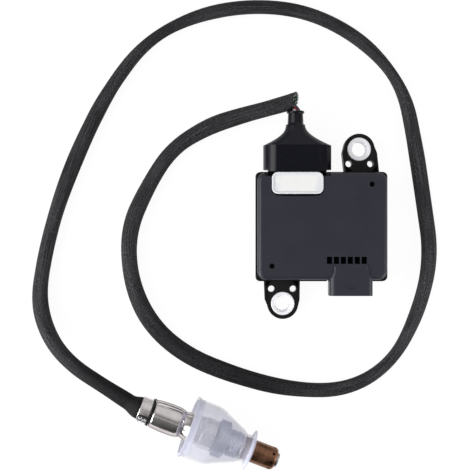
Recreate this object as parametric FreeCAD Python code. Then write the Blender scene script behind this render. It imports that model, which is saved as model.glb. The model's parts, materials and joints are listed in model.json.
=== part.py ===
import FreeCAD, Part
import math
import os

from FreeCAD import Placement, Rotation, Vector

# Exhaust gas sensor: a control module, a sleeved cable and a screw-in probe under its transport cap.
# Millimetres. The origin is the middle of the two mounting bolts, in the plane of the module's back.
# +Z points from the back to the face, and +Y points to the side where the cable leaves.

# Module case
CASE_W = 75.8
CASE_L = 63.2
CASE_H = 21.0
CASE_CORNER = 5.5
BASE_H = 8.4
BASE_WALL = 2.5
FLOOR_T = 2.0
LEDGE = 1.0
COVER_WALL = 1.8
ROOF_T = 2.0
EDGE_ROUND = 2.2
SEAL_T = 0.4
SEAT_GAP = 0.2

# Ears and their pressed-in bushes
BOLT_X = 22.2
BOLT_Y = 44.8
EAR_HALF_W = 10.1
EAR_NOSE_R = 9.0
EAR_NOSE_END_DEG = 10.0
EAR_HIP = 2.2
UPPER_ROOTS = (1.4, 1.3)
LOWER_ROOTS = (-0.2, 0.5)
EAR_SHIFT = 0.3
EAR_TOP = 7.8
EAR_LIP_H = 0.6
EAR_LIP_W = 1.1
BUSH_R = 6.75
BUSH_BORE_R = 4.25
BUSH_CHAMFER = 0.9
BUSH_EDGE = 0.3
BUSH_PROUD = 0.6
RELIEF_R = 1.9
RELIEF_X = 6.3
RELIEF_SHIFT = 0.3
RELIEF_Y = 8.45
POCKET_LEG = 3.4
POCKET_FLOOR = 2.5

# Plug socket on the case's lower side, and its six pins
SOCKET_SIDE = 21.55
SOCKET_W = 24.8
SOCKET_REACH = 9.2
SOCKET_BOTTOM = 6.4
SOCKET_RISE = 1.2
SOCKET_WALL = 1.9
SOCKET_DEPTH = 12.5
SOCKET_ROUND = 3.0
SOCKET_ROOF = 2.4
SOCKET_FLOOR = 1.8
SHOULDER_W = 19.8
SHOULDER_L = 9.6
SHOULDER_RAMP = 2.2
SHOULDER_ROUND = 1.1
SHOULDER_SLANT = 3.8
FLUSH_W = 7.0
NUB_W = 3.2
NUB_L = 0.9
NUB_H = 0.5
NUB_BACK = 4.6
PIN_COUNT = 6
PIN_PITCH = 3.3
PIN_W = 0.8
PIN_LENGTH = 9.5
PIN_DROP = 2.2
PIN_TIP = 0.25

# Comb of six blind windows and the two round marks in the face
WINDOW_COUNT = 6
WINDOW_SIDE = 24.0
WINDOW_Y = -19.5
WINDOW_W = 3.05
WINDOW_L = 4.1
WINDOW_PITCH = 3.96
WINDOW_DEPTH = 5.5
WINDOW_WALL = 1.0
DIMPLE_R = 1.5
DIMPLE_DEPTH = 3.0
DIMPLE_WALL = 1.2
DIMPLE_INSETS = ((9.6, 7.7), (9.1, 8.8))

# White entry block, the boot's two arms beside it, and the seal in its back
BLOCK_X = -14.15
BLOCK_SET = 0.7
BLOCK_W = 29.4
BLOCK_L = 12.55
BLOCK_ROUND = 3.5
BLOCK_GAP = 0.45
BLOCK_PROUD = 0.5
BLOCK_BORDER = 1.0
BLOCK_DISH = 0.35
BLOCK_EDGE = 0.4
ARM_W = 1.7
ARM_L = 11.5
ARM_H = 8.5
POCKET_WALL = 1.2
NOTCH_W = 4.2
NOTCH_L = 2.0
SEAL_DEPTH = 3.0
SEAL_INSET = 2.4

# Cable boot: a flat oval band that draws in to a round neck with a lip
BOOT_X = -13.95
BOOT_NECK_X = -14.9
BOOT_W = 39.4
BOOT_H = 17.0
BOOT_LIFT = 1.0
BOOT_GAP = 0.5
BOOT_SLIT = 1.1
BOOT_BAND_L = 15.2
BOOT_CONE_L = 10.6
BOOT_WALL = 1.6
CONE_DRAW = 1.75
CONE_SINK = 1.2
FOOT_T = 1.6
FOOT_WINDOW_H = 7.0
RING_R = 5.6
RING_L = 1.4
NECK_R = 4.3
NECK_L = 8.0
NECK_WALL = 0.8
NECK_TAPER = 0.35
MOUTH_EDGE = 0.8
MOUTH_DEPTH = 1.7
LIP_R = 5.1
LIP_L = 1.6

# Circuit board and what stands on it
BOARD_T = 1.6
BOARD_Z = 6.0
BOARD_GAP = 0.8
POST_R = 3.0
PEG_R = 1.4
PEG_GAP = 0.2
POST_INSET = 3.5
PART_ROUND = 0.6
CONTROLLER_X, CONTROLLER_Y = 8.0, 2.0
CONTROLLER_SIZE = 14.0
CONTROLLER_T = 1.6
DRIVER_X, DRIVER_Y = -10.0, -8.0
DRIVER_SIZE = 9.0
DRIVER_T = 2.2
CAPACITOR_R = 3.2
CAPACITOR_H = 8.0
CAPACITOR_SIDE, CAPACITOR_Y = 8.6, -14.0
CAPACITOR_PITCH = 8.2
CAPACITOR_COUNT = 3

# Lead wires
WIRE_COUNT = 4
WIRE_R = 0.75
WIRE_GAP = 0.15
WIRE_PITCH = 5.2
WIRE_STACK = 1.65
WIRE_LOW = 2.0
WIRE_OUT = 1.2
WIRE_TURN = 1.4
WIRE_TURN_DEG = 53.0
WIRE_NECK_SHIFT = 0.5
WIRE_FAN = 0.25
WIRE_Z = 12.0

# Sleeved cable
SLEEVE_R = 4.3
FLOOR_GAP = 0.05

# Probe: stations along its axis are counted from the rear rim of the transport cap towards the tip
PROBE_X = -76.7
PROBE_Y = -114.6
PROBE_HEADING = -21.4
SHELL_REAR_S = -21.9
SHELL_R = 8.75
SHELL_REAR_R = 8.2
SHELL_WALL = 0.8
SHELL_ROUND = 1.2
HOLDER_S = -16.8
HOLDER_EDGE = 0.4
HOLDER_GAP = 0.3
WAIST_S = -3.3
WAIST_R = 7.4
FLARE_R = 8.4
SPIGOT_R = 5.4
BAND_S = -29.7
BAND_L = 6.3
BAND_R = 7.2
BAND_T = 0.7
BAND_LUG = 1.1
BAND_LUG_W = 3.2
BAND_LUG_INSET = 0.8
BAND_LUG_TURN = 150.0
SPIGOT_IN = 0.6
PRESS_GAP = 0.05
FRAY_GAP = 0.2
FRAY_OUT = 0.6
COLLAR_S = 8.7
COLLAR_L = 7.5
COLLAR_R = 9.3
SHANK_R = 6.2
BODY_EDGE = 0.4
SEAT_S = 32.2
SEAT_R = 7.0
SEAT_L = 1.4
GUARD_L = 2.4
CORE_R = 4.2
HEX_FLATS = 19.0
HEX_L = 7.1
HEX_CROWN = 1.0
HEX_EDGE = 0.2
THREAD_R = 8.0
THREAD_PITCH = 1.5
THREAD_DEPTH = 0.75
THREAD_START = 0.9
THREAD_CREST = 0.1
THREAD_END_S = 31.8
NUT_RUN_GAP = 0.08
NUT_END_GAP = 0.3
TIP_R = 6.6
TIP_END_S = 53.5
TIP_CHAMFER = 1.2
TUBE_T = 0.5
HOLE_COUNT = 8
HOLE_R = 0.8
HOLE_S = 51.0
HOLE_TURN = 12.0
INNER_TUBE_R = 4.3
INNER_TUBE_END_S = 55.2
INNER_HOLE_S = 39.0
INNER_HOLE_R = 0.65
INNER_HOLE_COUNT = 6
END_HOLE_R = 0.9
ELEMENT_W = 4.0
ELEMENT_T = 1.2
ELEMENT_END_S = 49.5
ELEMENT_IN = 5.5
ELEMENT_GAP = 0.15
TALC_S = 14.0
TALC_L = 9.0

# Transport cap
CAP_RIM_R = 17.9
CAP_RIM_L = 1.2
CAP_RIM_STEP = 0.7
CAP_BELL_R = 17.2
CAP_SHOULDER_S = 13.2
CAP_CONE_S = 20.0
CAP_CONE_R = 14.9
CAP_CONE_END_S = 31.5
CAP_CONE_END_R = 9.8
CAP_NECK_R = 8.1
CAP_NECK_S = 34.2
CAP_FLANGE_R = 11.6
CAP_FLANGE_S = 36.5
CAP_EDGE_S = 37.7
CAP_EDGE_T = 0.5
CAP_L = 39.4
CAP_WALL = 0.9
CAP_BORE_GAP = 0.3

OVER = 1.0

# Places that follow from the sizes above
BASE_X, BASE_Y = CASE_W / 2, CASE_L / 2
COVER_X, COVER_Y = BASE_X - LEDGE, BASE_Y - LEDGE
COVER_Z = BASE_H + SEAL_T
INNER_X, INNER_Y = COVER_X - COVER_WALL, COVER_Y - COVER_WALL
ROOF_Z = CASE_H - ROOF_T
BUSH_TOP = EAR_TOP + BUSH_PROUD
SOCKET_X = BASE_X - SOCKET_SIDE
SOCKET_TOP = CASE_H + SOCKET_RISE
SOCKET_END = -BASE_Y - SOCKET_REACH + LEDGE
SOCKET_BACK = SOCKET_END + SOCKET_DEPTH
SOCKET_INNER_END = SOCKET_BACK + SOCKET_WALL
CAVITY_LOW = SOCKET_BOTTOM + SOCKET_FLOOR
CAVITY_HIGH = SOCKET_TOP - SOCKET_ROOF
PIN_Z = (CAVITY_LOW + CAVITY_HIGH) / 2
PIN_BEND_Y = SOCKET_INNER_END + PIN_DROP
WINDOW_X = BASE_X - WINDOW_SIDE
DIMPLES = (
    (BASE_X - DIMPLE_INSETS[0][0], BASE_Y - DIMPLE_INSETS[0][1]),
    (DIMPLE_INSETS[1][0] - BASE_X, DIMPLE_INSETS[1][1] - BASE_Y),
)
BLOCK_Y1 = BASE_Y - BLOCK_SET
BLOCK_Y0 = BLOCK_Y1 - BLOCK_L
BLOCK_Z0 = FLOOR_T
BLOCK_TOP = CASE_H + BLOCK_PROUD
SLOT_HALF = BLOCK_W / 2 + ARM_W + 2 * SEAT_GAP
BOOT_Y0 = BLOCK_Y1 + BOOT_GAP
BOOT_Z = FLOOR_T + BOOT_LIFT + BOOT_H / 2
ARM_ROOM_Z = BOOT_Z + ARM_H / 2 + 2 * SEAT_GAP
CONE_Y0 = BOOT_Y0 + BOOT_BAND_L
RING_Y0 = CONE_Y0 + BOOT_CONE_L
NECK_Y0 = RING_Y0 + RING_L
LIP_Y0 = NECK_Y0 + NECK_L - LIP_L
MOUTH_Y = NECK_Y0 + NECK_L
BOARD_TOP = BOARD_Z + BOARD_T
BOARD_Y0 = SOCKET_INNER_END + SEAT_GAP
BOARD_Y1 = BLOCK_Y0 - POCKET_WALL - 3 * SEAT_GAP
BOARD_X = BASE_X - BASE_WALL - BOARD_GAP
POST_X = BOARD_X - POST_INSET
CAPACITOR_X = CAPACITOR_SIDE - BOARD_X
REST_Z = SLEEVE_R + FLOOR_GAP

# The probe lies on the cap's rim and on the shoulder of its bell, so these two set its tilt and height.
TILT = math.degrees(math.atan2(CAP_RIM_R - CAP_BELL_R, CAP_SHOULDER_S - CAP_RIM_L))
TILT_COS, TILT_SIN = math.cos(math.radians(TILT)), math.sin(math.radians(TILT))
PROBE_Z = CAP_RIM_R * TILT_COS + CAP_RIM_L * TILT_SIN
PROBE_PLACE = Placement(
    Vector(PROBE_X, PROBE_Y, PROBE_Z),
    Rotation(Vector(0, 0, 1), PROBE_HEADING) * Rotation(Vector(0, 1, 0), TILT),
)
UNDER_BAND_R = BAND_R - BAND_T
BAND_END_S = BAND_S + BAND_L
SPIGOT_S = BAND_S + SPIGOT_IN
SPIGOT_BORE_R = SPIGOT_R - SHELL_WALL
HEX_S = COLLAR_S + COLLAR_L + NUT_END_GAP
BARREL_S = HEX_S + HEX_L

# The cable's route from its cut end beside the boot and round both loops.
ROUTE = [
    (-15.4, 72.5, 11.5),
    (-29.0, 68.4, 11.0),
    (-46.0, 64.4, 8.0),
    (-66.0, 58.2, 5.2),
    (-87.3, 45.2, REST_Z),
    (-101.0, 22.5, REST_Z),
    (-112.0, -2.0, REST_Z),
    (-111.5, -30.5, REST_Z),
    (-101.0, -56.0, REST_Z),
    (-80.0, -75.5, REST_Z),
    (-50.0, -87.8, REST_Z),
    (-18.0, -96.2, REST_Z),
    (16.0, -96.0, REST_Z),
    (41.5, -79.5, REST_Z),
    (56.5, -51.0, REST_Z),
    (64.8, -18.5, REST_Z),
    (60.6, 16.0, REST_Z),
    (55.5, 48.0, REST_Z),
    (48.5, 80.5, REST_Z),
    (27.0, 106.5, REST_Z),
    (-4.0, 124.0, REST_Z),
    (-37.0, 130.0, REST_Z),
    (-71.5, 124.5, REST_Z),
    (-101.0, 108.5, REST_Z),
    (-122.5, 81.0, REST_Z),
    (-139.0, 48.5, REST_Z),
    (-153.0, 12.5, REST_Z),
    (-162.0, -20.5, REST_Z),
]

# Its last points rise to the probe and go with it: they are counted from the probe's own place.
ROUTE_AT_PROBE = [
    (-87.9, 69.6, 4.6),
    (-80.5, 48.6, 8.5),
    (-66.8, 34.4, 15.0),
    (-47.6, 22.8, 18.9),
    (-34.0, 14.3, 19.6),
]
ROUTE_POINTS = [Vector(*point) for point in ROUTE]
ROUTE_POINTS += [Vector(PROBE_X + x, PROBE_Y + y, z) for x, y, z in ROUTE_AT_PROBE]


# Small tools

def box(x0, x1, y0, y1, z0, z1):
    return Part.makeBox(x1 - x0, y1 - y0, z1 - z0, Vector(x0, y0, z0))


def fuse(first, *others):
    return first.multiFuse(list(others)).removeSplitter()


def cut(solid, *tools):
    return solid.cut(list(tools))


def edges_where(solid, test):
    return [edge for edge in solid.Edges if test(edge)]


def level_edges(solid, z):
    return edges_where(solid, lambda e: all(abs(v.Z - z) < 1e-4 for v in e.Vertexes))


def rounded_slab(x0, x1, y0, y1, z0, z1, radius):
    block = box(x0, x1, y0, y1, z0, z1)
    upright = edges_where(block, lambda e: abs(e.Vertexes[0].Z - e.Vertexes[1].Z) > 1e-4)
    return block.makeFillet(radius, upright)


def prism(points, z0, z1):
    corners = [Vector(x, y, z0) for x, y in points]
    face = Part.Face(Part.makePolygon(corners + corners[:1]))
    return face.extrude(Vector(0, 0, z1 - z0))


def upright_rod(x, y, z0, z1, radius):
    return Part.makeCylinder(radius, z1 - z0, Vector(x, y, z0))


def rod_along_y(x, z, y0, y1, radius):
    return Part.makeCylinder(radius, y1 - y0, Vector(x, y0, z), Vector(0, 1, 0))


def turned(profile):
    """Revolve a profile of (station, radius) points; a step marked 'arc' gives its middle and its end."""
    edges, here = [], Vector(*profile[0], 0)
    for step in profile[1:] + profile[:1]:
        if step[0] == "arc":
            middle, end = Vector(*step[1], 0), Vector(*step[2], 0)
            edges.append(Part.Arc(here, middle, end).toShape())
        else:
            end = Vector(*step, 0)
            if end.distanceToPoint(here) < 1e-6:
                continue
            edges.append(Part.LineSegment(here, end).toShape())
        here = end
    face = Part.Face(Part.Wire(edges))
    return face.revolve(Vector(0, 0, 0), Vector(1, 0, 0), 360)


def on_probe(solid):
    placed = solid.copy()
    placed.Placement = PROBE_PLACE.multiply(placed.Placement)
    return placed


def bend_radii(points):
    """The radius of the arc that rounds each inner corner of a route."""
    radii = []
    for before, corner, after in zip(points, points[1:], points[2:]):
        turn = (corner - before).getAngle(after - corner)
        shorter = min(before.distanceToPoint(corner), after.distanceToPoint(corner))
        radii.append(0.45 * shorter / math.tan(turn / 2))
    return radii


def rounded_route(points):
    """Straight runs joined by tangent arcs, each as large as its two runs allow."""
    edges, start = [], points[0]
    for radius, before, corner, after in zip(bend_radii(points), points, points[1:], points[2:]):
        into, out = (corner - before).normalize(), (after - corner).normalize()
        trim = radius * math.tan(into.getAngle(out) / 2)
        arc_start, arc_end = corner - into * trim, corner + out * trim
        to_centre = (out - into).normalize()
        centre = corner + to_centre * math.hypot(radius, trim)
        edges.append(Part.LineSegment(start, arc_start).toShape())
        edges.append(Part.Arc(arc_start, centre - to_centre * radius, arc_end).toShape())
        start = arc_end
    edges.append(Part.LineSegment(start, points[-1]).toShape())
    return Part.Wire(edges)


def tube(points, radius):
    route = rounded_route(points)
    along = points[1] - points[0]
    ring = Part.Wire(Part.makeCircle(radius, points[0], along))
    return route.makePipeShell([ring], True, False)


# Module case

def turned_about_origin(solid):
    """The lower ear is made as an upper one and turned half way round the middle of the bolts."""
    copy = solid.copy()
    copy.rotate(Vector(0, 0, 0), Vector(0, 0, 1), 180)
    return copy


def ear_outline(inset, root_y, roots):
    """The ear from above: a round nose over the bolt, hips beside it, and sides that run to the case."""
    nose, half = EAR_NOSE_R - inset, EAR_HALF_W - inset
    end = math.radians(EAR_NOSE_END_DEG)
    hip_y = BOLT_Y - EAR_HIP
    middle_x = BOLT_X + EAR_SHIFT
    points = [
        Vector(middle_x - half + roots[0], root_y, 0),
        Vector(middle_x - half, hip_y, 0),
        Vector(BOLT_X - nose * math.cos(end), BOLT_Y + nose * math.sin(end), 0),
        Vector(BOLT_X, BOLT_Y + nose, 0),
        Vector(BOLT_X + nose * math.cos(end), BOLT_Y + nose * math.sin(end), 0),
        Vector(middle_x + half, hip_y, 0),
        Vector(middle_x + half + roots[1], root_y, 0),
    ]
    nose_arc = Part.Arc(points[2], points[3], points[4]).toShape()
    sides = [(0, 1), (1, 2), (4, 5), (5, 6), (6, 0)]
    runs = [Part.LineSegment(points[i], points[j]).toShape() for i, j in sides]
    return Part.Wire(runs[:2] + [nose_arc] + runs[2:])


def ear(roots):
    """One ear with its raised edge, bush seat, two relief holes and the corner pockets at its root.

    The roots say how far each side of the ear moves to +X between its hip and the case.
    """
    root_y = BASE_Y - BASE_WALL / 2
    plate = Part.Face(ear_outline(0, root_y, roots)).extrude(Vector(0, 0, EAR_TOP + EAR_LIP_H))
    sunk = Part.Face(ear_outline(EAR_LIP_W, root_y, roots)).extrude(Vector(0, 0, EAR_LIP_H + OVER))
    sunk.translate(Vector(0, 0, EAR_TOP))
    tools = [sunk, upright_rod(BOLT_X, BOLT_Y, -OVER, EAR_TOP + OVER, BUSH_R)]
    for side, root in zip((-1, 1), roots):
        hole_x = BOLT_X + RELIEF_SHIFT + side * RELIEF_X
        tools.append(upright_rod(hole_x, BOLT_Y - RELIEF_Y, -OVER, EAR_TOP + OVER, RELIEF_R))
        x, y = BOLT_X + EAR_SHIFT + root + side * (EAR_HALF_W - EAR_LIP_W), BASE_Y + SEAT_GAP
        lean = root * POCKET_LEG / (BOLT_Y - EAR_HIP - root_y)
        corners = [(x, y), (x - lean, y + POCKET_LEG), (x - side * POCKET_LEG, y)]
        tools.append(prism(corners, POCKET_FLOOR, EAR_TOP + OVER))
    return cut(plate, *tools)


def socket_notch(side_gap, z0, z1):
    half = SOCKET_W / 2 + side_gap
    return box(SOCKET_X - half, SOCKET_X + half, -BASE_Y - OVER, -INNER_Y + OVER, z0, z1)


def entry_notch(z0, z1):
    return box(BLOCK_X - SLOT_HALF, BLOCK_X + SLOT_HALF, BLOCK_Y0 - SEAT_GAP, BASE_Y + OVER, z0, z1)


def board_posts():
    rows = (BOARD_Y0 + POST_INSET, BOARD_Y1 - POST_INSET)
    return [(side * POST_X, y) for side in (-1, 1) for y in rows]


def housing_base():
    """The tray: floor, wall, both ears, and the posts that carry the board."""
    tray = rounded_slab(-BASE_X, BASE_X, -BASE_Y, BASE_Y, 0, BASE_H, CASE_CORNER)
    inside_x, inside_y = BASE_X - BASE_WALL, BASE_Y - BASE_WALL
    inside = rounded_slab(
        -inside_x, inside_x, -inside_y, inside_y, FLOOR_T, BASE_H + OVER, CASE_CORNER - BASE_WALL
    )
    shell = cut(tray, inside)
    posts = []
    for x, y in board_posts():
        posts.append(upright_rod(x, y, FLOOR_T / 2, BOARD_Z, POST_R))
        posts.append(upright_rod(x, y, BOARD_Z - OVER, BOARD_TOP + PEG_GAP, PEG_R))
    solid = fuse(shell, ear(UPPER_ROOTS), turned_about_origin(ear(LOWER_ROOTS)), *posts)
    half = SOCKET_W / 2 + SEAT_GAP
    flush = box(
        SOCKET_X - half - FLUSH_W, SOCKET_X + half, -BASE_Y - OVER, -COVER_Y, FLOOR_T, BASE_H + OVER
    )
    return cut(
        solid, flush, entry_notch(FLOOR_T, BASE_H + OVER),
        socket_notch(SEAT_GAP, SOCKET_BOTTOM - SEAT_GAP, BASE_H + OVER),
    )


def cover_seal():
    outer = rounded_slab(
        -COVER_X, COVER_X, -COVER_Y, COVER_Y, BASE_H, COVER_Z, CASE_CORNER - LEDGE
    )
    inner = rounded_slab(
        -INNER_X, INNER_X, -INNER_Y, INNER_Y, BASE_H - OVER, COVER_Z + OVER,
        CASE_CORNER - LEDGE - COVER_WALL,
    )
    return cut(
        outer, inner, entry_notch(BASE_H - OVER, COVER_Z + OVER),
        socket_notch(SEAT_GAP, BASE_H - OVER, COVER_Z + OVER),
    )


def socket_tube(y0, y1, top):
    """A length of the plug socket's outer wall, with its long edges rounded."""
    half = SOCKET_W / 2
    block = box(SOCKET_X - half, SOCKET_X + half, y0, y1, SOCKET_BOTTOM, top)
    long_edges = edges_where(
        block, lambda e: abs(e.Vertexes[0].Y - e.Vertexes[1].Y) > 1e-4
    )
    return block.makeFillet(SOCKET_ROUND, long_edges)


def shoulder_section(y, half, top, radius):
    """One section across the socket's shoulder: upright sides, two round shoulders and a flat top."""
    left, right, corner = SOCKET_X - half, SOCKET_X + half, radius * (1 - math.sqrt(0.5))
    low = ROOF_Z - OVER
    return Part.Wire([
        Part.LineSegment(Vector(left, y, low), Vector(left, y, top - radius)).toShape(),
        Part.Arc(
            Vector(left, y, top - radius),
            Vector(left + corner, y, top - corner),
            Vector(left + radius, y, top),
        ).toShape(),
        Part.LineSegment(Vector(left + radius, y, top), Vector(right - radius, y, top)).toShape(),
        Part.Arc(
            Vector(right - radius, y, top),
            Vector(right - corner, y, top - corner),
            Vector(right, y, top - radius),
        ).toShape(),
        Part.LineSegment(Vector(right, y, top - radius), Vector(right, y, low)).toShape(),
        Part.LineSegment(Vector(right, y, low), Vector(left, y, low)).toShape(),
    ])


def socket_shoulder():
    """The raised back of the socket on the face: a ramp, a straight stretch, and flanks that widen."""
    back, front = -COVER_Y + SHOULDER_L, -COVER_Y + OVER
    narrow, wide = SHOULDER_W / 2, SOCKET_W / 2
    stations = (
        (back, narrow, CASE_H, SHOULDER_ROUND),
        (back - SHOULDER_RAMP, narrow, SOCKET_TOP, SHOULDER_ROUND),
        (front + SHOULDER_SLANT, narrow, SOCKET_TOP, SHOULDER_ROUND),
        (front, wide, SOCKET_TOP, SOCKET_ROUND),
    )
    return Part.makeLoft([shoulder_section(*station) for station in stations], True, True)


def latch_nub():
    """The small ramp on the socket that the plug's latch snaps over."""
    y = -COVER_Y - NUB_BACK
    profile = [
        Vector(SOCKET_X - NUB_W / 2, y + NUB_L, SOCKET_TOP - 0.1),
        Vector(SOCKET_X - NUB_W / 2, y, SOCKET_TOP + NUB_H),
        Vector(SOCKET_X - NUB_W / 2, y - NUB_L, SOCKET_TOP - 0.1),
    ]
    face = Part.Face(Part.makePolygon(profile + profile[:1]))
    return face.extrude(Vector(NUB_W, 0, 0))


def window_places():
    first = WINDOW_X - WINDOW_PITCH * (WINDOW_COUNT - 1) / 2
    return [first + i * WINDOW_PITCH for i in range(WINDOW_COUNT)]


def pin_places():
    first = SOCKET_X - PIN_PITCH * (PIN_COUNT - 1) / 2
    return [first + i * PIN_PITCH for i in range(PIN_COUNT)]


def wire_places():
    return [BLOCK_X + (i - (WIRE_COUNT - 1) / 2) * WIRE_PITCH for i in range(WIRE_COUNT)]


def housing_cover():
    """The upper shell: face, plug socket, comb of windows and the slot for the entry block."""
    outer = rounded_slab(
        -COVER_X, COVER_X, -COVER_Y, COVER_Y, COVER_Z, CASE_H, CASE_CORNER - LEDGE
    )
    outer = outer.makeFillet(EDGE_ROUND, level_edges(outer, CASE_H))
    inner = rounded_slab(
        -INNER_X, INNER_X, -INNER_Y, INNER_Y, COVER_Z - OVER, ROOF_Z,
        CASE_CORNER - LEDGE - COVER_WALL,
    )
    shell = cut(outer, inner)

    comb_half = WINDOW_PITCH * (WINDOW_COUNT - 1) / 2 + WINDOW_W / 2 + WINDOW_WALL
    comb_l = WINDOW_L / 2 + WINDOW_WALL
    comb = box(
        WINDOW_X - comb_half, WINDOW_X + comb_half, WINDOW_Y - comb_l, WINDOW_Y + comb_l,
        CASE_H - WINDOW_DEPTH - WINDOW_WALL, ROOF_Z + OVER,
    )
    slot_wall = box(
        BLOCK_X - SLOT_HALF - POCKET_WALL, BLOCK_X + SLOT_HALF + POCKET_WALL,
        BLOCK_Y0 - SEAT_GAP - POCKET_WALL, INNER_Y + OVER, COVER_Z, ROOF_Z + OVER,
    )
    boss_z, boss_r = CASE_H - DIMPLE_DEPTH - DIMPLE_WALL, DIMPLE_R + DIMPLE_WALL
    bosses = [upright_rod(x, y, boss_z, ROOF_Z + OVER, boss_r) for x, y in DIMPLES]
    solid = fuse(
        shell, comb, slot_wall, socket_tube(-COVER_Y - OVER, SOCKET_INNER_END, ROOF_Z + OVER),
        socket_tube(SOCKET_END, -COVER_Y + OVER, SOCKET_TOP), socket_shoulder(), latch_nub(), *bosses,
    )

    hole = PIN_W / 2 + SEAT_GAP / 2
    tools = [
        entry_notch(COVER_Z - OVER, ARM_ROOM_Z),
        rounded_slab(
            BLOCK_X - BLOCK_W / 2 - BLOCK_GAP, BLOCK_X + BLOCK_W / 2 + BLOCK_GAP,
            BLOCK_Y0 - BLOCK_GAP, COVER_Y + BLOCK_L, ARM_ROOM_Z - OVER, CASE_H + OVER, BLOCK_ROUND,
        ),
        box(
            BLOCK_X - BLOCK_W / 2 - NOTCH_W, BLOCK_X + BLOCK_W / 2 + NOTCH_W,
            COVER_Y - NOTCH_L, COVER_Y + OVER, ARM_ROOM_Z - OVER, CASE_H + OVER,
        ),
        rounded_slab(
            SOCKET_X - SOCKET_W / 2 + SOCKET_WALL, SOCKET_X + SOCKET_W / 2 - SOCKET_WALL,
            SOCKET_END - 4 * OVER, SOCKET_BACK, CAVITY_LOW, CAVITY_HIGH, SOCKET_WALL / 2,
        ),
    ]
    for x in pin_places():
        tools.append(
            box(x - hole, x + hole, SOCKET_BACK - OVER, SOCKET_INNER_END + OVER, PIN_Z - hole, PIN_Z + hole)
        )
    for x in window_places():
        tools.append(
            box(
                x - WINDOW_W / 2, x + WINDOW_W / 2, WINDOW_Y - WINDOW_L / 2, WINDOW_Y + WINDOW_L / 2,
                CASE_H - WINDOW_DEPTH, CASE_H + OVER,
            )
        )
    for x, y in DIMPLES:
        tools.append(upright_rod(x, y, CASE_H - DIMPLE_DEPTH, CASE_H + OVER, DIMPLE_R))
    for x in wire_places():
        reach = BLOCK_Y0 - SEAT_GAP - POCKET_WALL - OVER
        tools.append(rod_along_y(x, WIRE_Z, reach, BLOCK_Y0, WIRE_R + WIRE_GAP))
    return cut(solid, *tools)


def ear_bush(x, y):
    """A plain steel bush, a little proud of its ear at the top, with its upper mouth chamfered."""
    sleeve = turned([
        (0, BUSH_BORE_R),
        (0, BUSH_R - BUSH_EDGE),
        (BUSH_EDGE, BUSH_R),
        (BUSH_TOP - BUSH_EDGE, BUSH_R),
        (BUSH_TOP, BUSH_R - BUSH_EDGE),
        (BUSH_TOP, BUSH_BORE_R + BUSH_CHAMFER),
        (BUSH_TOP - BUSH_CHAMFER, BUSH_BORE_R),
    ])
    sleeve.rotate(Vector(0, 0, 0), Vector(0, 1, 0), -90)
    sleeve.translate(Vector(x, y, 0))
    return sleeve


# Inside the case

def circuit_board():
    board = rounded_slab(-BOARD_X, BOARD_X, BOARD_Y0, BOARD_Y1, BOARD_Z, BOARD_TOP, 1.5)
    holes = [
        upright_rod(x, y, BOARD_Z - OVER, BOARD_TOP + OVER, PEG_R + PEG_GAP) for x, y in board_posts()
    ]
    hole = PIN_W / 2 + SEAT_GAP / 2
    for x in pin_places():
        holes.append(
            box(x - hole, x + hole, PIN_BEND_Y - hole, PIN_BEND_Y + hole, BOARD_Z - OVER, BOARD_TOP + OVER)
        )
    return cut(board, *holes)


def on_board(x, y, size, height):
    return rounded_slab(
        x - size / 2, x + size / 2, y - size / 2, y + size / 2, BOARD_TOP, BOARD_TOP + height, PART_ROUND
    )


def capacitors():
    cans, top = [], BOARD_TOP + CAPACITOR_H
    for i in range(CAPACITOR_COUNT):
        can = upright_rod(CAPACITOR_X, CAPACITOR_Y + i * CAPACITOR_PITCH, BOARD_TOP, top, CAPACITOR_R)
        cans.append(can.makeFillet(PART_ROUND, level_edges(can, top)))
    return Part.makeCompound(cans)


def connector_pins():
    """Six square pins that stand in the socket and turn down through the board."""
    pins, half, tip_y = [], PIN_W / 2, SOCKET_BACK - PIN_LENGTH
    for x in pin_places():
        level = box(x - half, x + half, tip_y, PIN_BEND_Y + half, PIN_Z - half, PIN_Z + half)
        upright = box(
            x - half, x + half, PIN_BEND_Y - half, PIN_BEND_Y + half, BOARD_Z - OVER, PIN_Z + half
        )
        tip = edges_where(level, lambda e: all(abs(v.Y - tip_y) < 1e-4 for v in e.Vertexes))
        pins.append(fuse(level.makeChamfer(PIN_TIP, tip), upright))
    return Part.makeCompound(pins)


# Cable entry

def entry_block():
    """The white block: a rounded brick with a raised border, four wire bores and a recess for its seal."""
    half = BLOCK_W / 2
    brick = rounded_slab(
        BLOCK_X - half, BLOCK_X + half, BLOCK_Y0, BLOCK_Y1, BLOCK_Z0, BLOCK_TOP, BLOCK_ROUND
    )
    brick = brick.makeFillet(BLOCK_EDGE, level_edges(brick, BLOCK_TOP))
    dish = rounded_slab(
        BLOCK_X - half + BLOCK_BORDER, BLOCK_X + half - BLOCK_BORDER,
        BLOCK_Y0 + BLOCK_BORDER, BLOCK_Y1 - BLOCK_BORDER,
        BLOCK_TOP - BLOCK_DISH, BLOCK_TOP + OVER, BLOCK_ROUND - BLOCK_BORDER,
    )
    bores = [
        rod_along_y(x, WIRE_Z, BLOCK_Y0 - OVER, BLOCK_Y1 + OVER, WIRE_R + WIRE_GAP) for x in wire_places()
    ]
    return cut(brick, dish, seal_block(SEAT_GAP / 2), *bores)


def seal_block(grow):
    half = BLOCK_W / 2 - BLOCK_ROUND + grow
    return box(
        BLOCK_X - half, BLOCK_X + half, BLOCK_Y1 - SEAL_DEPTH, BLOCK_Y1 + (OVER if grow else 0),
        WIRE_Z - SEAL_INSET - grow, WIRE_Z + SEAL_INSET + grow,
    )


def wire_seal():
    bores = [
        rod_along_y(x, WIRE_Z, BLOCK_Y1 - SEAL_DEPTH - OVER, BLOCK_Y1 + OVER, WIRE_R + WIRE_GAP)
        for x in wire_places()
    ]
    return cut(seal_block(0), *bores)


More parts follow.
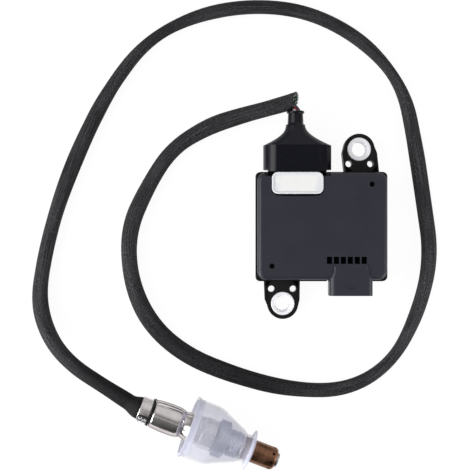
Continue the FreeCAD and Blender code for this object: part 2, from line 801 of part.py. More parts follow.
def oval_wire(x, y, half_w, half_h):
    """A flat oval in the plane across the boot: two straight sides and two half-round ends."""
    flat = half_w - half_h
    low, high = BOOT_Z - half_h, BOOT_Z + half_h
    left, right = x - flat, x + flat
    return Part.Wire([
        Part.LineSegment(Vector(left, y, high), Vector(right, y, high)).toShape(),
        Part.Arc(Vector(right, y, high), Vector(x + half_w, y, BOOT_Z), Vector(right, y, low)).toShape(),
        Part.LineSegment(Vector(right, y, low), Vector(left, y, low)).toShape(),
        Part.Arc(Vector(left, y, low), Vector(x - half_w, y, BOOT_Z), Vector(left, y, high)).toShape(),
    ])


def boot_cone(wall):
    """The cone between the band and the ring; it is drawn in quickly first and more slowly near the ring."""
    half_w, half_h = BOOT_W / 2 - wall, BOOT_H / 2 - wall
    end_h = RING_R - wall
    end_w = end_h + SEAT_GAP
    sections = []
    for share in (0.0, 0.06, 0.25, 0.5, 0.75, 1.0):
        draw = 1 - (1 - share) ** CONE_DRAW
        sink = 1 - (1 - share) ** CONE_SINK
        x = BOOT_X + (BOOT_NECK_X - BOOT_X) * share
        sections.append(
            oval_wire(
                x, CONE_Y0 + BOOT_CONE_L * share,
                half_w + (end_w - half_w) * draw, half_h + (end_h - half_h) * sink,
            )
        )
    return Part.makeLoft(sections, True, False)


def boot_band(wall, y0, y1):
    wire = oval_wire(BOOT_X, y0, BOOT_W / 2 - wall, BOOT_H / 2 - wall)
    return Part.Face(wire).extrude(Vector(0, y1 - y0, 0))


def boot_arm(side):
    """A flat arm that runs along the block's side in the case's slot."""
    middle_x = BLOCK_X + side * (BLOCK_W / 2 + SEAT_GAP + ARM_W / 2)
    return box(
        middle_x - ARM_W / 2, middle_x + ARM_W / 2, BOOT_Y0 - ARM_L, BOOT_Y0 + FOOT_T,
        BOOT_Z - ARM_H / 2, BOOT_Z + ARM_H / 2,
    )


def cable_boot():
    """The hollow boot: a foot with two arms against the case, the band, the cone, and the leads' neck."""
    along, bore_r = Vector(0, 1, 0), NECK_R - NECK_WALL
    ring = rod_along_y(BOOT_NECK_X, BOOT_Z, RING_Y0, NECK_Y0, RING_R)
    neck = Part.makeCone(
        NECK_R + NECK_TAPER, NECK_R, LIP_Y0 - NECK_Y0, Vector(BOOT_NECK_X, NECK_Y0, BOOT_Z), along
    )
    lip = rod_along_y(BOOT_NECK_X, BOOT_Z, LIP_Y0, MOUTH_Y, LIP_R)
    lip = lip.makeFillet(LIP_L / 2.5, [e for e in lip.Edges if e.Closed])
    outside = fuse(boot_band(0, BOOT_Y0, CONE_Y0), boot_cone(0), ring, neck, lip)
    mouth = Part.makeCone(
        bore_r, LIP_R - MOUTH_EDGE, MOUTH_DEPTH, Vector(BOOT_NECK_X, MOUTH_Y - MOUTH_DEPTH, BOOT_Z), along
    )
    hollow = cut(
        outside, boot_band(BOOT_WALL, BOOT_Y0 - OVER, CONE_Y0), boot_cone(BOOT_WALL),
        rod_along_y(BOOT_NECK_X, BOOT_Z, CONE_Y0 + BOOT_CONE_L / 2, MOUTH_Y + OVER, bore_r), mouth,
    )

    foot = boot_band(BOOT_WALL / 2, BOOT_Y0, BOOT_Y0 + FOOT_T)
    half_w, half_h = BLOCK_W / 2 - BLOCK_ROUND, FOOT_WINDOW_H / 2
    tools = [
        box(
            BLOCK_X - half_w, BLOCK_X + half_w, BOOT_Y0 - OVER, BOOT_Y0 + FOOT_T + OVER,
            WIRE_Z - half_h, WIRE_Z + half_h,
        )
    ]
    for side in (-1, 1):
        middle_x = BLOCK_X + side * (SLOT_HALF + BOOT_H / 2)
        tools.append(
            box(
                middle_x - BOOT_H / 2, middle_x + BOOT_H / 2, BOOT_Y0 - OVER, BOOT_Y0 + BOOT_SLIT,
                BOOT_Z - BOOT_H, BOOT_Z + BOOT_H,
            )
        )
    return cut(fuse(hollow, foot, boot_arm(-1), boot_arm(1)), *tools)


def lead_wire(level):
    """A lead from the sleeve's cut end, round into the boot's mouth and through the block to the board.

    The four leads leave the sleeve one above the other, and fan out side by side inside the boot.
    """
    start, toward = ROUTE_POINTS[0], (ROUTE_POINTS[0] - ROUTE_POINTS[1]).normalize()
    across = Vector(toward.y, -toward.x, 0).normalize()
    from_middle = level - (WIRE_COUNT - 1) / 2
    lift, angle = from_middle * WIRE_STACK, math.radians(WIRE_TURN_DEG)
    out = start + across * WIRE_LOW + across.cross(toward) * lift
    bend = out + toward * WIRE_OUT
    down = bend + (toward * math.cos(angle) + across * math.sin(angle)) * WIRE_TURN
    neck_x = BOOT_NECK_X + WIRE_NECK_SHIFT + from_middle * WIRE_FAN
    place_x = wire_places()[level]
    points = [
        out,
        bend,
        down,
        Vector(neck_x, MOUTH_Y - MOUTH_DEPTH, BOOT_Z + lift),
        Vector(neck_x, CONE_Y0 + BOOT_CONE_L / 2, BOOT_Z + lift),
        Vector(place_x, BOOT_Y0 + BOOT_BAND_L / 3, WIRE_Z),
        Vector(place_x, BOARD_Y1 - POST_INSET, WIRE_Z),
        Vector(place_x, BOARD_Y1 - POST_INSET, BOARD_TOP),
    ]
    return tube(points, WIRE_R)


# Cable and probe

def braided_sleeve():
    return tube(ROUTE_POINTS, SLEEVE_R)


def sleeve_flare():
    """The sleeve's last stretch, which widens over the probe shell's spigot and is held by the band."""
    end, along = ROUTE_POINTS[-1], (ROUTE_POINTS[-1] - ROUTE_POINTS[-2]).normalize()
    seat, axis = PROBE_PLACE.multVec(Vector(BAND_S, 0, 0)), PROBE_PLACE.Rotation.multVec(Vector(1, 0, 0))
    reach = end.distanceToPoint(seat)
    rings = []
    for share, swell in ((0, 0), (0.3, 0.12), (0.65, 0.6), (1, 1)):
        leaving, arriving = end + along * (reach * share), seat - axis * (reach * (1 - share))
        centre = leaving * (1 - share) + arriving * share
        facing = along * (1 - share) + axis * share
        radius = SLEEVE_R + (UNDER_BAND_R - SLEEVE_R) * swell
        rings.append(Part.Wire(Part.makeCircle(radius, centre, facing)))
    widening = Part.makeLoft(rings, True, False)
    held = on_probe(turned([
        (BAND_S, 0), (BAND_S, UNDER_BAND_R), (SHELL_REAR_S - FRAY_GAP - FRAY_OUT, UNDER_BAND_R),
        (SHELL_REAR_S - FRAY_GAP, UNDER_BAND_R + FRAY_OUT), (SHELL_REAR_S - FRAY_GAP, 0),
    ]))
    spigot_room = on_probe(turned([
        (SPIGOT_S, 0), (SPIGOT_S, SPIGOT_R), (SHELL_REAR_S, SPIGOT_R), (SHELL_REAR_S, 0),
    ]))
    return cut(fuse(widening, held), spigot_room)


def sleeve_band():
    """The crimped steel band with its small raised lug."""
    edge, fall = BAND_T / 2, BAND_T / 4
    ring = turned([
        (BAND_S, UNDER_BAND_R), (BAND_S, BAND_R - fall), (BAND_S + edge, BAND_R),
        (BAND_END_S - edge, BAND_R), (BAND_END_S, BAND_R - fall), (BAND_END_S, UNDER_BAND_R),
    ])
    lug = box(
        BAND_S + BAND_LUG_INSET, BAND_END_S - BAND_LUG_INSET, -BAND_LUG_W / 2, BAND_LUG_W / 2,
        BAND_R - edge, BAND_R + BAND_LUG,
    )
    lug = lug.makeFillet(edge, level_edges(lug, BAND_R + BAND_LUG))
    lug.rotate(Vector(0, 0, 0), Vector(1, 0, 0), BAND_LUG_TURN)
    return on_probe(fuse(ring, lug))


def shell_profile(wall):
    """The rear shell from its back shoulder, over the barrel, to the waist and the flare at the body."""
    barrel_end, barrel_mid = WAIST_S - 3.6, (SHELL_REAR_S + WAIST_S) / 2 + 1.0
    return [
        (SHELL_REAR_S + wall, SHELL_REAR_R - SHELL_ROUND - wall * 0.4),
        ("arc", (SHELL_REAR_S + wall * 0.6 + 0.35, SHELL_REAR_R - 0.35 - wall * 0.8),
         (SHELL_REAR_S + SHELL_ROUND, SHELL_REAR_R - wall)),
        ("arc", (barrel_mid, SHELL_R - wall), (barrel_end, SHELL_R - 0.15 - wall)),
        ("arc", (WAIST_S - 2.0, (SHELL_R + WAIST_R) / 2 + 0.15 - wall), (WAIST_S, WAIST_R - wall)),
        ("arc", (WAIST_S + 1.9, (WAIST_R + FLARE_R) / 2 - wall), (0, FLARE_R - wall)),
    ]


def probe_rear_shell():
    """A deep-drawn steel shell with a spigot at the back that the sleeve is clamped on."""
    outer = turned([(SHELL_REAR_S, 0)] + shell_profile(0) + [(0, 0)])
    hollow = turned(
        [(SHELL_REAR_S + SHELL_WALL, 0)] + shell_profile(SHELL_WALL)
        + [(OVER, FLARE_R - SHELL_WALL), (OVER, 0)]
    )
    spigot = turned([
        (SPIGOT_S, SPIGOT_BORE_R), (SPIGOT_S, SPIGOT_R - PRESS_GAP),
        (SHELL_REAR_S + PRESS_GAP, SPIGOT_R - PRESS_GAP), (SHELL_REAR_S + PRESS_GAP, SPIGOT_BORE_R),
    ])
    bore = turned([
        (SPIGOT_S - OVER, 0), (SPIGOT_S - OVER, SPIGOT_BORE_R),
        (SHELL_REAR_S + SHELL_WALL + OVER, SPIGOT_BORE_R), (SHELL_REAR_S + SHELL_WALL + OVER, 0),
    ])
    return on_probe(cut(fuse(cut(outer, hollow), spigot), bore))


def wire_grommet():
    """The plug of soft seal that closes the back of the shell round the leads."""
    plug_r, back = SPIGOT_BORE_R - PRESS_GAP, SHELL_REAR_S + SHELL_WALL + PRESS_GAP
    flange_r = SHELL_REAR_R - SHELL_WALL - SHELL_ROUND / 2
    return on_probe(turned([
        (SPIGOT_S + SPIGOT_IN, 0), (SPIGOT_S + SPIGOT_IN, plug_r), (back, plug_r),
        (back, flange_r - SHELL_ROUND), (back + SHELL_ROUND, flange_r),
        (HOLDER_S - PRESS_GAP, flange_r), (HOLDER_S - PRESS_GAP, 0),
    ]))


def element_slot(s0, s1, gap):
    half_w, half_t = ELEMENT_W / 2 + gap, ELEMENT_T / 2 + gap
    return box(s0, s1, -half_w, half_w, -half_t, half_t)


def contact_holder():
    """The ceramic block in the shell whose springs grip the element's rear end."""
    r = WAIST_R - SHELL_WALL - HOLDER_GAP
    body = turned([
        (HOLDER_S, 0), (HOLDER_S, r - HOLDER_EDGE), (HOLDER_S + HOLDER_EDGE, r),
        (WAIST_S - HOLDER_EDGE, r), (WAIST_S, r - HOLDER_EDGE), (WAIST_S, 0),
    ])
    slot = element_slot(WAIST_S - ELEMENT_IN - ELEMENT_GAP, WAIST_S + OVER, ELEMENT_GAP)
    return on_probe(cut(body, slot))


def probe_body():
    """The turned steel body: rear seat of the shell, collar, shank under the nut, and the sealing seat."""
    collar_end, edge = COLLAR_S + COLLAR_L, BODY_EDGE
    seat_end = SEAT_S + SEAT_L
    guard_end = seat_end + GUARD_L
    outline = [
        (PRESS_GAP, CORE_R),
        (PRESS_GAP, FLARE_R - edge),
        (PRESS_GAP + 2 * edge, FLARE_R),
        (COLLAR_S - edge, FLARE_R + edge),
        (COLLAR_S, COLLAR_R),
        (collar_end - edge, COLLAR_R),
        (collar_end, COLLAR_R - edge),
        (collar_end, SHANK_R),
        (SEAT_S, SHANK_R),
        (SEAT_S, SEAT_R),
        (SEAT_S + SEAT_L / 2, SEAT_R),
        (seat_end, TIP_R),
        (seat_end, TIP_R - TUBE_T - PRESS_GAP),
        (guard_end, TIP_R - TUBE_T - PRESS_GAP),
        (guard_end, INNER_TUBE_R + PRESS_GAP),
        (SEAT_S, INNER_TUBE_R + PRESS_GAP),
        (SEAT_S, CORE_R),
    ]
    return on_probe(turned(outline))


def core_piece(s0, s1):
    """A piece of the core that fills the body's bore round the element."""
    r = CORE_R - PRESS_GAP
    plug = turned([(s0, 0), (s0, r), (s1, r), (s1, 0)])
    return on_probe(cut(plug, element_slot(s0 - OVER, s1 + OVER, ELEMENT_GAP)))


def sensing_element():
    strip = element_slot(WAIST_S - ELEMENT_IN, ELEMENT_END_S, 0)
    tip = edges_where(strip, lambda e: all(abs(v.X - ELEMENT_END_S) < 1e-4 for v in e.Vertexes))
    return on_probe(strip.makeChamfer(ELEMENT_T / 4, tip))


def gland_nut():
    """The captive nut: a chamfered hexagon, a washer face and the threaded barrel."""
    corner_r, flat_r = HEX_FLATS / 2 / math.cos(math.radians(30)), HEX_FLATS / 2
    angles = [math.radians(60 * i) for i in range(6)]
    corners = [Vector(HEX_S, corner_r * math.cos(a), corner_r * math.sin(a)) for a in angles]
    hexagon = Part.Face(Part.makePolygon(corners + corners[:1])).extrude(Vector(HEX_L, 0, 0))
    crowned = turned([
        (HEX_S, 0), (HEX_S, flat_r - HEX_EDGE), (HEX_S + HEX_CROWN, corner_r + HEX_EDGE),
        (BARREL_S - HEX_CROWN, corner_r + HEX_EDGE), (BARREL_S, flat_r - HEX_EDGE), (BARREL_S, 0),
    ])

    root_r, half_pitch = THREAD_R - THREAD_DEPTH, THREAD_PITCH / 2
    profile = [(BARREL_S - OVER, 0), (BARREL_S - OVER, root_r), (BARREL_S + THREAD_START, root_r)]
    crest = BARREL_S + THREAD_START + half_pitch
    while crest + half_pitch < THREAD_END_S - THREAD_CREST:
        profile += [(crest - THREAD_CREST, THREAD_R), (crest + THREAD_CREST, THREAD_R)]
        profile += [(crest + half_pitch, root_r)]
        crest += THREAD_PITCH
    profile += [(THREAD_END_S, root_r), (THREAD_END_S, 0)]
    bore_r = SHANK_R + NUT_RUN_GAP
    bore = turned([
        (HEX_S - OVER, 0), (HEX_S - OVER, bore_r), (THREAD_END_S + OVER, bore_r), (THREAD_END_S + OVER, 0),
    ])
    return on_probe(cut(fuse(hexagon.common(crowned), turned(profile)), bore))


def hole_ring(s, radius, count, turn):
    """A ring of round cross holes through a tube about the probe's axis."""
    holes = []
    for i in range(count):
        angle = math.radians(turn + 360 / count * i)
        outward = Vector(0, math.cos(angle), math.sin(angle))
        holes.append(Part.makeCylinder(radius, TIP_R + OVER, Vector(s, 0, 0), outward))
    return holes


def outer_tube():
    """The heat-tinted outer tube with a chamfered nose and a ring of gas holes."""
    start, inner = SEAT_S + SEAT_L + PRESS_GAP, TIP_R - TUBE_T
    mouth, fall = INNER_TUBE_R + PRESS_GAP, TIP_CHAMFER * 0.7
    tube_wall = turned([
        (start, inner), (start, TIP_R), (TIP_END_S - TIP_CHAMFER, TIP_R), (TIP_END_S, TIP_R - fall),
        (TIP_END_S, mouth), (TIP_END_S - TUBE_T, mouth), (TIP_END_S - TUBE_T, inner - fall),
        (TIP_END_S - TIP_CHAMFER - TUBE_T / 2, inner),
    ])
    return on_probe(cut(tube_wall, *hole_ring(HOLE_S, HOLE_R, HOLE_COUNT, HOLE_TURN)))


def inner_tube():
    """The inner tube that guards the element; its closed end shows beyond the outer one."""
    inner, nose = INNER_TUBE_R - TUBE_T, INNER_TUBE_END_S - TUBE_T
    tube_wall = turned([
        (SEAT_S + PRESS_GAP, inner), (SEAT_S + PRESS_GAP, INNER_TUBE_R), (nose, INNER_TUBE_R),
        (INNER_TUBE_END_S, inner), (INNER_TUBE_END_S, END_HOLE_R), (nose, END_HOLE_R), (nose, inner),
    ])
    return on_probe(cut(tube_wall, *hole_ring(INNER_HOLE_S, INNER_HOLE_R, INNER_HOLE_COUNT, 0)))


def protective_cap():
    """The moulded transport cap: rim, bell, cone, neck and the thin flange to pull it off by."""
    bore_r = TIP_R + CAP_BORE_GAP
    bell_mid = (CAP_SHOULDER_S + CAP_CONE_S) / 2
    bell_bulge = (CAP_BELL_R + CAP_CONE_R) / 2 + 0.35
    outside = turned([
        (0, 0), (0, CAP_RIM_R), (CAP_RIM_L, CAP_RIM_R), (CAP_RIM_L + CAP_RIM_STEP, CAP_BELL_R),
        (CAP_SHOULDER_S, CAP_BELL_R),
        ("arc", (bell_mid, bell_bulge), (CAP_CONE_S, CAP_CONE_R)),
        (CAP_CONE_END_S, CAP_CONE_END_R),
        ("arc", ((CAP_CONE_END_S + CAP_NECK_S) / 2 + 0.1, (CAP_CONE_END_R + CAP_NECK_R) / 2 - 0.25),
         (CAP_NECK_S, CAP_NECK_R)),
        (CAP_FLANGE_S, CAP_NECK_R), (CAP_EDGE_S, CAP_FLANGE_R),
        (CAP_EDGE_S + CAP_EDGE_T, CAP_FLANGE_R), (CAP_L, CAP_NECK_R), (CAP_L, 0),
    ])
    inside = turned([
        (-OVER, 0), (-OVER, CAP_BELL_R - CAP_WALL), (CAP_SHOULDER_S, CAP_BELL_R - CAP_WALL),
        ("arc", (bell_mid, bell_bulge - CAP_WALL), (CAP_CONE_S, CAP_CONE_R - CAP_WALL)),
        (CAP_CONE_END_S, CAP_CONE_END_R - CAP_WALL), (CAP_NECK_S + 0.4, bore_r),
        (CAP_L + OVER, bore_r), (CAP_L + OVER, 0),
    ])
    return on_probe(cut(outside, inside))


LEAD_COLOURS = ("black", "green", "white", "red")

PARTS = {
    "housing_base": housing_base,
    "housing_cover": housing_cover,
    "cover_seal": cover_seal,
    "ear_bush_upper": lambda: ear_bush(BOLT_X, BOLT_Y),
    "ear_bush_lower": lambda: ear_bush(-BOLT_X, -BOLT_Y),
    "circuit_board": circuit_board,
    "controller_chip": lambda: on_board(CONTROLLER_X, CONTROLLER_Y, CONTROLLER_SIZE, CONTROLLER_T),
    "driver_chip": lambda: on_board(DRIVER_X, DRIVER_Y, DRIVER_SIZE, DRIVER_T),
    "capacitors": capacitors,
    "connector_pins": connector_pins,
    "entry_block": entry_block,
    "wire_seal": wire_seal,
    "cable_boot": cable_boot,
    "braided_sleeve": braided_sleeve,
    "sleeve_flare": sleeve_flare,
    "sleeve_band": sleeve_band,
    "probe_rear_shell": probe_rear_shell,
    "wire_grommet": wire_grommet,
    "contact_holder": contact_holder,
    "probe_body": probe_body,
    "insulator_rear": lambda: core_piece(WAIST_S + ELEMENT_GAP, TALC_S - PRESS_GAP),
    "talc_seal": lambda: core_piece(TALC_S, TALC_S + TALC_L),
    "insulator_front": lambda: core_piece(TALC_S + TALC_L + PRESS_GAP, SEAT_S),
    "sensing_element": sensing_element,
    "gland_nut": gland_nut,
    "outer_tube": outer_tube,
    "inner_tube": inner_tube,
    "protective_cap": protective_cap,
}
for number, colour in enumerate(LEAD_COLOURS):
    PARTS[f"lead_wire_{colour}"] = lambda number=number: lead_wire(number)

os.makedirs("parts", exist_ok=True)
for name, make in PARTS.items():
    make().exportStep(f"parts/{name}.step")

print("sleeve length", round(rounded_route(ROUTE_POINTS).Length, 1))
print("tightest bend", round(min(bend_radii(ROUTE_POINTS)), 1))
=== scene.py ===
# %% [markdown]
# # An exhaust gas sensor on its braided cable
#
# The real object is a flat control module, a metre of sleeved cable that lies in one and a half
# loops, and a steel probe with a translucent transport cap over its thread. The solid parts come
# from a CAD model that is already in place. This script gives every one of them a finish, and
# makes the soft and fine pieces itself: the braid, the leads, the cut yarns and some thin trim.

# %% Load the solid parts
import json
import math
import random

import bmesh
import bpy
from mathutils import Matrix, Vector


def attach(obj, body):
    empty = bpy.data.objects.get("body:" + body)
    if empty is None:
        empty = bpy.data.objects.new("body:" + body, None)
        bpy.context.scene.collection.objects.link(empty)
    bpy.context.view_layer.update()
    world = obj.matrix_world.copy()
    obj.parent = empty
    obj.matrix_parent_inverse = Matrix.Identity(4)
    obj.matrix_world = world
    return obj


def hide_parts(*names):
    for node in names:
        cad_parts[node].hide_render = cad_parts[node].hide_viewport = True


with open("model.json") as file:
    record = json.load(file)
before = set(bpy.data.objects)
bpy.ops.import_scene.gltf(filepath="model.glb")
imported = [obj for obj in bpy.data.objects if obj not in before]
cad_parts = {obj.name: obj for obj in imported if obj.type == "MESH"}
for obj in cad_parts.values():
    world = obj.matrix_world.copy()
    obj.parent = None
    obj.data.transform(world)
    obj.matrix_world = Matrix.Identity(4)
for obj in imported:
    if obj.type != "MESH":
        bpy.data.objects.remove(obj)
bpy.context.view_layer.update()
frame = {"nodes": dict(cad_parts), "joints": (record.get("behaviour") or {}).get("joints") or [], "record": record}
nodes = frame["nodes"]
MM = 0.001
random.seed(7)

# %% [markdown]
# ## Camera
#
# The photograph looks straight down from about 0.7 m. A lens could be found by trying, but it
# follows from two lengths as well: halfway up the module, 691 mm below the camera, the picture is
# 272.6 mm wide. The lens is the sensor's width times the one over the other.

# %% Camera
SENSOR_WIDTH = 36
SEEN_WIDTH, SEEN_FROM = 272.6, 691
camera_data = bpy.data.cameras.new("camera")
camera_data.sensor_width = SENSOR_WIDTH
camera_data.lens = SENSOR_WIDTH * SEEN_FROM / SEEN_WIDTH
camera = bpy.data.objects.new("camera", camera_data)
camera.location = (-49.9 * MM, -5.05 * MM, 700 * MM)
bpy.context.scene.collection.objects.link(camera)
bpy.context.scene.camera = camera
bpy.context.scene.view_settings.view_transform = "Standard"
print("lens", round(camera_data.lens, 2), "mm")

# %% [markdown]
# ## Helpers for finishes
#
# A finish is a small node tree round one Principled shader. It could be put together by hand for
# each material, but three things vary over almost every real surface: its colour, its roughness
# and its fine relief. So a few helpers set up all three from noise in the object's own
# coordinates, and each material below only says how much, and at which scale.

# %% Nodes of a finish
def new_finish(name):
    """A new material, its node tree and its shader."""
    material = bpy.data.materials.new(name)
    material.use_nodes = True
    tree = material.node_tree
    return material, tree, tree.nodes["Principled BSDF"]


def add(tree, kind, inputs=(), **settings):
    """A node with its settings, and its inputs either linked or filled in."""
    node = tree.nodes.new(kind)
    for key, value in settings.items():
        setattr(node, key, value)
    for key, value in dict(inputs).items():
        if isinstance(value, bpy.types.NodeSocket):
            tree.links.new(value, node.inputs[key])
        else:
            node.inputs[key].default_value = value
    return node


def set_sockets(shader, **sockets):
    """Numbers and colours that are the same all over a surface."""
    for name, value in sockets.items():
        shader.inputs[name.replace("_", " ")].default_value = value


# %% Places on the object
def object_place(tree):
    """The object's own coordinates, in metres."""
    return add(tree, "ShaderNodeTexCoord").outputs["Object"]


def place_from(tree, point, turn):
    """The same, but counted from this point, with X along the turned axis."""
    place = add(
        tree, "ShaderNodeMapping",
        {"Vector": object_place(tree), "Location": point, "Rotation": turn},
        vector_type="TEXTURE",
    )
    return place.outputs["Vector"]


def stretched(tree, vector, scale):
    """A place stretched: a pattern gets finer along an axis with a larger number."""
    return add(tree, "ShaderNodeMapping", {"Vector": vector, "Scale": scale}).outputs["Vector"]


def part_of(tree, vector, axis):
    """The X, Y or Z of a place."""
    return add(tree, "ShaderNodeSeparateXYZ", {"Vector": vector}).outputs[axis]


# %% Patterns, levels and colours
def reckon(tree, operation, *numbers, clamp=False):
    """A number worked out from one or two others."""
    node = add(tree, "ShaderNodeMath", enumerate(numbers), operation=operation, use_clamp=clamp)
    return node.outputs[0]


def noise(tree, vector, scale, detail=3, roughness=0.5):
    """A cloudy number between 0 and 1, finer with a larger scale."""
    node = add(
        tree, "ShaderNodeTexNoise",
        {"Vector": vector, "Scale": scale, "Detail": detail, "Roughness": roughness},
    )
    return node.outputs["Fac"]


def level(tree, value, low, high, start=0.35, end=0.65):
    """A number taken from the range start to end into the range low to high."""
    node = add(
        tree, "ShaderNodeMapRange",
        {"Value": value, "From Min": start, "From Max": end, "To Min": low, "To Max": high},
    )
    return node.outputs["Result"]


def between(tree, share, dark, light):
    """A colour between two, by share."""
    mix = add(tree, "ShaderNodeMix", {"Factor": share}, data_type="RGBA")
    mix.inputs["A"].default_value = (*dark, 1)
    mix.inputs["B"].default_value = (*light, 1)
    return mix.outputs["Result"]


def relief(tree, shader, height, depth, strength=1.0):
    """Fine relief from a height between 0 and 1, that many metres deep."""
    bump = add(
        tree, "ShaderNodeBump", {"Height": height, "Distance": depth, "Strength": strength}
    )
    tree.links.new(bump.outputs["Normal"], shader.inputs["Normal"])


# %% Moulded plastic
MOTTLE_GRAIN, GLOSS_GRAIN, FINE_GRAIN = 60, 180, 1500


def moulded(name, dark, light, rough, depth=0.02 * MM, **sockets):
    """A moulded plastic: slight mottling, an uneven gloss and a fine grain."""
    material, tree, shader = new_finish(name)
    place = object_place(tree)
    mottle = level(tree, noise(tree, place, MOTTLE_GRAIN), 0, 1)
    gloss = level(tree, noise(tree, place, GLOSS_GRAIN), *rough)
    tree.links.new(between(tree, mottle, dark, light), shader.inputs["Base Color"])
    tree.links.new(gloss, shader.inputs["Roughness"])
    relief(tree, shader, noise(tree, place, FINE_GRAIN, detail=1), depth)
    set_sockets(shader, **sockets)
    return material


def dress(material, *names):
    """The finish on CAD parts, whose meshes stay as they are."""
    for name in names:
        nodes[name].data.materials.clear()
        nodes[name].data.materials.append(material)


# %% [markdown]
# ## Round faces of the solid parts
#
# A solid part arrives as loose flat triangles. On a matt, boxy part nobody sees them, but a
# glossy round face would show stripes. Smooth shading alone changes nothing, because no two of
# the triangles share an edge. So a round part gets a copy whose triangles are joined: its round
# faces shade smoothly, while its real edges stay sharp. The copy has the same shape and stands
# for the part.

# %% Smooth copies of round parts
def make_piece(name, bm, *materials):
    """An object at the origin, with the finished mesh and its materials."""
    mesh = bpy.data.meshes.new(name)
    bm.to_mesh(mesh)
    bm.free()
    for material in materials:
        mesh.materials.append(material)
    piece = bpy.data.objects.new(name, mesh)
    bpy.context.scene.collection.objects.link(piece)
    return piece


record = frame["record"]
BODY_OF = {
    node: body for body, members in record["behaviour"]["bodies"].items() for node in members
}
JOIN_WITHIN = 0.002 * MM
SHARP_FROM = math.radians(28)


def dress_smooth(material, *names):
    """The finish on smooth copies of CAD parts."""
    for name in names:
        bm = bmesh.new()
        bm.from_mesh(nodes[name].data)
        bmesh.ops.remove_doubles(bm, verts=bm.verts, dist=JOIN_WITHIN)
        piece = make_piece(name + "_smooth", bm, material)
        piece.data.shade_smooth()
        piece.data.set_sharp_from_angle(angle=SHARP_FROM)
        flatten = piece.modifiers.new("large faces stay flat", "WEIGHTED_NORMAL")
        flatten.keep_sharp = True
        flatten.weight = 100
        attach(piece, BODY_OF[name])
        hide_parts(name)


# %% [markdown]
# ## The cable's line
#
# A stiff braided cable lies in wide, smooth curves. Its line could be drawn with handles at every
# point. A spline whose control points stand a little outside each bend is smooth by itself and
# needs only one row of points, so it is used here. The cut end beside the boot is held up by the
# leads. From there the line comes down to the ground, runs round both loops, and rises again to
# the probe, whose cap keeps it off the ground.

# %% The cable's line
REST = 4.35  # the line's height where the cable lies on the ground
ROUTE = [
    (-15.4, 72.5, 11.5), (-29.0, 68.5, 11.0), (-46.0, 64.4, 8.0), (-66.0, 58.2, 5.2),
    (-87.2, 45.1, REST), (-101.3, 22.7, REST), (-112.3, -1.9, REST), (-111.2, -30.5, REST),
    (-100.7, -55.8, REST), (-79.7, -75.0, REST), (-49.8, -87.2, REST), (-17.9, -95.4, REST),
    (15.9, -95.8, REST), (41.8, -79.8, REST), (56.9, -51.1, REST), (64.9, -18.5, REST),
    (60.0, 15.9, REST), (55.3, 47.9, REST), (48.7, 80.6, REST), (27.4, 106.9, REST),
    (-3.9, 124.6, REST), (-37.0, 129.3, REST), (-71.4, 124.0, REST), (-101.2, 108.8, REST),
    (-122.8, 81.2, REST), (-139.4, 48.7, REST), (-153.5, 12.7, REST), (-161.8, -20.5, REST),
    (-164.7, -45.1, 4.6), (-157.2, -65.9, 8.5), (-143.5, -80.2, 15.0), (-124.3, -91.8, 18.9),
    (-110.7, -100.3, 19.6),
]


def spline_points(route, steps=8):
    """Points along the smooth line that the control points give, in metres."""
    curve = bpy.data.curves.new("line", "CURVE")
    curve.dimensions = "3D"
    spline = curve.splines.new("NURBS")
    spline.points.add(len(route) - 1)
    for point, (x, y, z) in zip(spline.points, route):
        point.co = (x * MM, y * MM, z * MM, 1)
    spline.order_u = 3
    spline.use_endpoint_u = True
    spline.resolution_u = steps
    holder = bpy.data.objects.new("line", curve)
    mesh = bpy.data.meshes.new_from_object(holder)
    points = [v.co.copy() for v in mesh.vertices]
    bpy.data.meshes.remove(mesh)
    bpy.data.objects.remove(holder)
    bpy.data.curves.remove(curve)
    return points


line = spline_points(ROUTE)
distances = [0.0]
for before, after in zip(line, line[1:]):
    distances.append(distances[-1] + (after - before).length)
CABLE_LENGTH = distances[-1]
print("cable", round(CABLE_LENGTH, 4), "m,", len(line), "points")

# %% [markdown]
# ## The braided sleeve
#
# The sleeve is a woven tube round four leads. It is wider than it is high, and where it turns
# over it stands on edge and looks narrow. A curve with a round bevel would be the same all along,
# so the sleeve is swept instead: a ring with shallow ribs is extruded from point to point along
# the line, and each ring has its own width, height and turn. The ribs stand for the yarns that
# run lengthwise. A map of the surface, once round and in metres along, carries the weave.

# %% The sleeve's width
RIBS, RIB_HEIGHT = 36, 0.022
CREASE_FROM = math.radians(50)
SLEEVE_WIDTH = [  # share of the length, half the width in millimetres
    (0.0, 4.75), (0.02, 4.5), (0.05, 4.95), (0.08, 4.35), (0.1, 4.4), (0.13, 4.9), (0.16, 4.6),
    (0.2, 5.2), (0.25, 5.2), (0.28, 4.9), (0.32, 4.2), (0.375, 3.45), (0.41, 4.15), (0.45, 4.55),
    (0.5, 4.6), (0.525, 4.3), (0.56, 3.25), (0.59, 3.95), (0.68, 4.05), (0.72, 3.2), (0.76, 3.9),
    (0.79, 4.5), (0.82, 4.75), (0.86, 4.2), (0.89, 4.3), (0.92, 4.8), (0.96, 4.35), (0.98, 4.3),
    (1.0, 4.75),
]


def eased(t):
    """From 0 to 1 with a soft start and a soft end."""
    return t * t * (3 - 2 * t)


def at_share(table, share):
    """A value from a table of (share, value), smoothly between its rows."""
    for (s0, v0), (s1, v1) in zip(table, table[1:]):
        if share <= s1:
            return v0 + (v1 - v0) * eased((share - s0) / (s1 - s0))
    return table[-1][1]


# %% Sweep a ring along a line
def ring_place(point, along, half_width, half_height, twist):
    """Where a ring of radius 1 goes: across the line, level, with its own width and height."""
    side = along.cross(Vector((0, 0, 1))).normalized()
    up = side.cross(along).normalized()
    facing = Matrix((side, up, along)).transposed().to_4x4()
    sized = Matrix.Diagonal((half_width, half_height, 1, 1))
    return Matrix.Translation(point) @ facing @ sized @ Matrix.Rotation(twist, 4, "Z")


